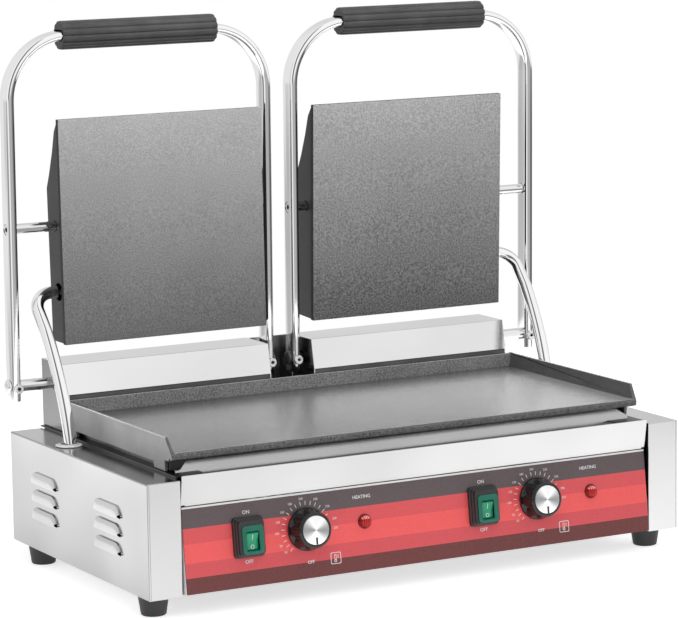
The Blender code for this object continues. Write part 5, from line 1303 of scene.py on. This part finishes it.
def lettering(text, height, across, up, bold=0.0):
    """The outline of a word on the panel, centred at a place."""
    curve = bpy.data.curves.new("lettering", "FONT")
    curve.body = text
    curve.align_x = "CENTER"
    curve.align_y = "CENTER"
    curve.size = height / CAP_SHARE
    curve.offset = bold
    curve.extrude = INK_THICK / 2
    curve.resolution_u = 3
    item = link("lettering", curve)
    mesh = evaluated(item)
    bpy.data.objects.remove(item)
    faces = [list(face.vertices) for face in mesh.polygons]
    return moved(([p.co for p in mesh.vertices], faces), Matrix.Translation((across, up, INK_OUT)))


def ink_bar(across, up, size, turn):
    length, width = size
    low, high = INK_OUT - INK_THICK / 2, INK_OUT + INK_THICK / 2
    bar = box_shape((-length / 2, -width / 2, low), (length / 2, width / 2, high))
    return moved(bar, Matrix.Translation((across, up, 0)) @ Matrix.Rotation(turn, 4, "Z"))


def thermometer():
    """A rounded square with a thermometer in it, drawn in lines."""
    low, high = INK_OUT - INK_THICK / 2, INK_OUT + INK_THICK / 2
    inner_half, inner_corner = SIGN_HALF - SIGN_LINE, SIGN_CORNER - SIGN_LINE / 2
    outer = rounded_rectangle(SIGN_HALF, SIGN_HALF, SIGN_CORNER, 4)
    inner = rounded_rectangle(inner_half, inner_half, inner_corner, 4)
    rings = [
        [(a, b, level) for a, b in line]
        for line, level in ((outer, low), (outer, high), (inner, high), (inner, low), (outer, low))
    ]
    bulb = ring_shape(SIGN_BULB_RADII, INK_THICK, 20)
    shapes = [loft(rings, closed=False), moved(bulb, Matrix.Translation((*SIGN_BULB, low)))]
    for across, up, length, degrees in SIGN_BARS:
        shapes.append(ink_bar(across, up, (length, SIGN_BAR_WIDTH), math.radians(degrees)))
    return moved(together(shapes), Matrix.Translation((*SIGN_PLACE, 0)))


def panel_print(name, side):
    """Everything that is printed round one group of controls."""
    shapes = [lettering(*word, LETTER_BOLD) for word in WORDS]
    step = (DIAL_LAST_DEG - DIAL_FIRST_DEG) / (DIAL_TICKS - 1)
    for i in range(DIAL_TICKS):
        angle = math.radians(DIAL_FIRST_DEG + step * i)
        place = (DIAL_R * math.cos(angle), DIAL_R * math.sin(angle))
        shapes.append(ink_bar(*place, DIAL_TICK_SIZE, angle))
    for number, degrees in DIAL_NUMBERS.items():
        angle = math.radians(degrees)
        across = DIAL_NUMBER_R * math.cos(angle) * DIAL_NUMBER_SPREAD
        up = DIAL_NUMBER_R * math.sin(angle)
        shapes.append(lettering(str(number), DIAL_NUMBER_HEIGHT, across, up))
    shapes.append(thermometer())
    shape = moved(together(shapes), Matrix.Translation((side * GROUP_X, 0, 0)))
    add_piece(f"panel_print_{name}", shape, "ink", place=PANEL, smooth_deg=20)


def panel_edges():
    """The bare strip above the foil, and the returns that close the panel's ends."""
    strip = box_shape(
        (-STRIP_HALF, STRIP_TOP - STRIP_WIDTH, -PROUD), (STRIP_HALF, STRIP_TOP, PROUD)
    )
    add_piece("panel_strip", strip, "strip_steel", place=PANEL, smooth_deg=20)
    for name, side in SIDES.items():
        ends = sorted(side * x for x in RETURN_X)
        mesh = softened(prism_x(RETURN_OUTLINE, *ends), width=0.00015)
        add_piece(f"panel_return_{name}", mesh, "strip_steel", smooth_deg=30)


def baffle():
    """The strip under the griddle's lip, leaning back, with mitred ends."""
    low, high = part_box("front_baffle")
    bottom, shoulder = low.z - BAFFLE_DROP, low.z + BAFFLE_SHOULDER_UP
    top_half = high.x - BAFFLE_MITRE
    outline = [
        (-high.x, bottom), (high.x, bottom), (high.x, shoulder),
        (top_half, high.z), (-top_half, high.z), (-high.x, shoulder),
    ]
    rings = [
        [(x, low.y - BAFFLE_LEAN * (high.z - z) / (high.z - bottom) + back, z) for x, z in outline]
        for back in (0.0, BAFFLE_SHEET)
    ]
    strip = softened(loft(rings), width=0.0003)
    on_node("front_baffle", "strip", strip, "baffle_steel", smooth_deg=30)


def griddle():
    """The cast plate, with painted light and shade: looks of their own for its walls, lip and
    edges, and a painted highlight on its bright outer rims.
    """
    low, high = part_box("griddle_plate")
    piece = refined("griddle_plate", "griddle_iron", width=0.0006, edge_look="griddle_edge")

    # Painted shade on the inner walls, back wall, lip and the foot of the walls, painted light on
    # the outer walls, and a painted highlight on the rims
    def look_of(face):
        spot, normal = face.center, face.normal
        outward = normal.x * math.copysign(1, spot.x)
        at_lip = spot.y < low.y + LIP_DEPTH
        at_foot = abs(spot.z - high.z + WALL_RISE) < FOOT_REACH
        if face.material_index == 1 and at_foot and not at_lip:
            return "griddle_inner"
        if spot.z > high.z - RIM_DEPTH and min(outward, normal.z) > EDGE_LINE_SHARE:
            return "griddle_rim"
        if abs(outward) > SIDE_FACE_SHARE:
            return "griddle_wall" if outward > 0 else "griddle_inner"
        if normal.y < -SIDE_FACE_SHARE:
            return "griddle_lip" if at_lip else "griddle_back"
        return None

    looks = ("griddle_wall", "griddle_inner", "griddle_back", "griddle_lip", "griddle_rim")
    paint(piece, looks, look_of)


def griddle_corner():
    """A dark block of painted shade at the left end of the griddle's lip, beside the strip under
    it.
    """
    low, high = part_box("griddle_plate")
    inner, outer = high.x - CORNER_REACH, high.x - CORNER_INSET
    top, bottom = low.z + CORNER_TOP, low.z + CORNER_BOTTOM
    outline = [(inner, top), (outer, top), (outer, bottom), (inner + CORNER_TAPER, bottom)]
    front = low.y + CORNER_BACK
    rings = [[(LEFT * x, y, z) for x, z in outline] for y in (front, front + CORNER_THICK)]
    corner = softened(loft(rings), width=0.0006, segments=3)
    add_piece("lip_shade_block_left", corner, "plate_side_iron", smooth_deg=40)


def housing(name):
    """A hinge housing, with painted shade on its side and back faces, and the low front sheet
    behind the griddle's back wall, painted dark as shade.
    """
    node = f"rear_housing_{name}"
    low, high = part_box(node)
    front = low.y + SILL_IN
    sill = box_shape((low.x, front, low.z), (high.x, front + SILL_THICK, low.z + SILL_HEIGHT))
    # Painted shade: the sill takes the dark shade look
    add_piece(f"housing_sill_{name}", softened(sill, width=0.0002), "shade_steel", smooth_deg=30)

    # Painted shade: back faces take the darker casing steel, side faces the shaded side steel
    def look_of(face):
        if face.normal.y > SIDE_FACE_SHARE:
            return "casing_steel"
        return "side_steel" if abs(face.normal.x) > SIDE_FACE_SHARE else None

    paint(refined(node, "housing_steel", width=0.0004), ("side_steel", "casing_steel"), look_of)


def upper_plate(name):
    """A cast plate with painted shade that darkens the faces round its edge, and the cover on its
    back.
    """
    plate = refined(f"upper_plate_{name}", f"plate_iron_{name}", width=0.0005, segments=3)

    def look_of(face):
        return "plate_side_iron" if abs(face.normal.y) < SIDE_FACE_SHARE else None

    paint(plate, ["plate_side_iron"], look_of)
    refined(f"plate_cover_{name}", "cover_steel", width=0.0005)


for side_name, side_sign in SIDES.items():
    lid_frame(side_name, side_sign)
    grip(side_name)
    conduit(side_name, side_sign)
    washer(side_name)
    end_casing(side_name, side_sign)
    knob(side_name, side_sign)
    switch_frame(side_name, side_sign)
    rocker(side_name)
    pilot_lamp(side_name, side_sign)
    leg_hardware(side_name, side_sign)
    panel_print(side_name, side_sign)
    housing(side_name)
    upper_plate(side_name)
    switch_hood(side_name, side_sign)
    for node, look in PAIRED_LOOKS.items():
        dress(f"{node}_{side_name}", look)
    for place in ("front", "back"):
        refined(f"foot_{place}_{side_name}", "foot_rubber", width=0.0007, segments=3, smooth_deg=50)

panel_edges()
baffle()
griddle_corner()
griddle()
refined("drip_tray", "tray_steel", width=0.0004, segments=3)
refined("front_panel", "front_steel", width=0.0004)
refined("centre_back_plate", "recess_steel", width=0.0003)
for node, look in SINGLE_LOOKS.items():
    dress(node, look)


# Stage, lamps, world and camera


def add_floor():
    """A pale floor that shows white where it is lit and keeps the object's shadow."""
    floor = link("floor", mesh_of(turned(((FLOOR_R, -FLOOR_THICK), (FLOOR_R, 0.0)), 96)))
    look = Look("floor_paper", FLOOR_GREY, 0.9)
    paper = look.mix(look.noise(2), FLOOR_GREY - FLOOR_CLOUD, FLOOR_GREY + FLOOR_CLOUD)
    look.join(paper, "Base Color")
    look.set("Emission Color", WHITE)
    look.join(look.math("MULTIPLY", seen_rays(look.tree), FLOOR_LIFT), "Emission Strength")
    floor.data.materials.append(look.material)


def add_lamp(name, place, target, power, size):
    data = bpy.data.lights.new(name, "AREA")
    data.energy = power
    data.shape = "RECTANGLE"
    data.size, data.size_y = size
    item = link(name, data)
    item.location = place
    item.visible_glossy = False
    item.rotation_euler = (Vector(target) - Vector(place)).to_track_quat("-Z", "Y").to_euler()


def make_world():
    """Even light on surfaces. Metal reflects tones that change round the press and with height."""
    world = bpy.data.worlds.new("studio")
    bpy.context.scene.world = world
    world.use_nodes = True
    tree = world.node_tree
    tree.nodes.clear()

    def node(kind, values=None, **settings):
        return add_node(tree, kind, values, **settings).outputs

    direction = node("SeparateXYZ", {0: node("TexCoord")["Generated"]})
    azimuth = node("Math", {0: direction["Y"], 1: direction["X"]}, operation="ARCTAN2")[0]
    turn = node("MapRange", {"Value": azimuth, "From Min": -math.pi, "From Max": math.pi})["Result"]
    tones = []
    for table in (LOW_TONES, SKY_TONES):
        ramp = add_node(tree, "ValToRGB", {"Fac": turn})
        set_stops(ramp, [((degrees + 180) / 360, tone) for degrees, tone in table])
        tones.append(ramp.outputs["Color"])
    bounds = {"From Min": SKY_FROM, "From Max": SKY_TO}
    sky = node("MapRange", {"Value": direction["Z"], **bounds}, interpolation_type="SMOOTHSTEP")
    reflected = node("Mix", {0: sky["Result"], 6: tones[0], 7: tones[1]}, data_type="RGBA")[2]
    glossy = node("LightPath")["Is Glossy Ray"]
    shown = node("Mix", {0: glossy, 6: WHITE, 7: reflected}, data_type="RGBA")[2]
    ambient = node("Background", {"Color": WHITE, "Strength": AMBIENT})[0]
    seen = node("Background", {"Color": shown})[0]
    mix = node("MixShader", {0: seen_rays(tree), 1: ambient, 2: seen})[0]
    node("OutputWorld", {"Surface": mix})


def add_camera():
    degrees = (CAMERA_AZIMUTH_DEG, CAMERA_DOWN_DEG, CAMERA_ROLL_DEG)
    azimuth, down, roll = (math.radians(angle) for angle in degrees)
    data = bpy.data.cameras.new("camera")
    data.lens = CAMERA_LENS_MM
    data.sensor_width = CAMERA_SENSOR_MM
    data.sensor_fit = "HORIZONTAL"
    camera = link("camera", data)
    place = Matrix.Translation(CAMERA_PLACE)
    for angle, axis in ((-azimuth, "Z"), (math.pi / 2 - down, "X"), (roll, "Z")):
        place = place @ Matrix.Rotation(angle, 4, axis)
    camera.matrix_world = place
    bpy.context.scene.camera = camera


add_floor()
for lamp_name, lamp_row in LAMPS.items():
    add_lamp(lamp_name, *lamp_row)
make_world()
add_camera()
bpy.context.scene.view_settings.view_transform = "Standard"
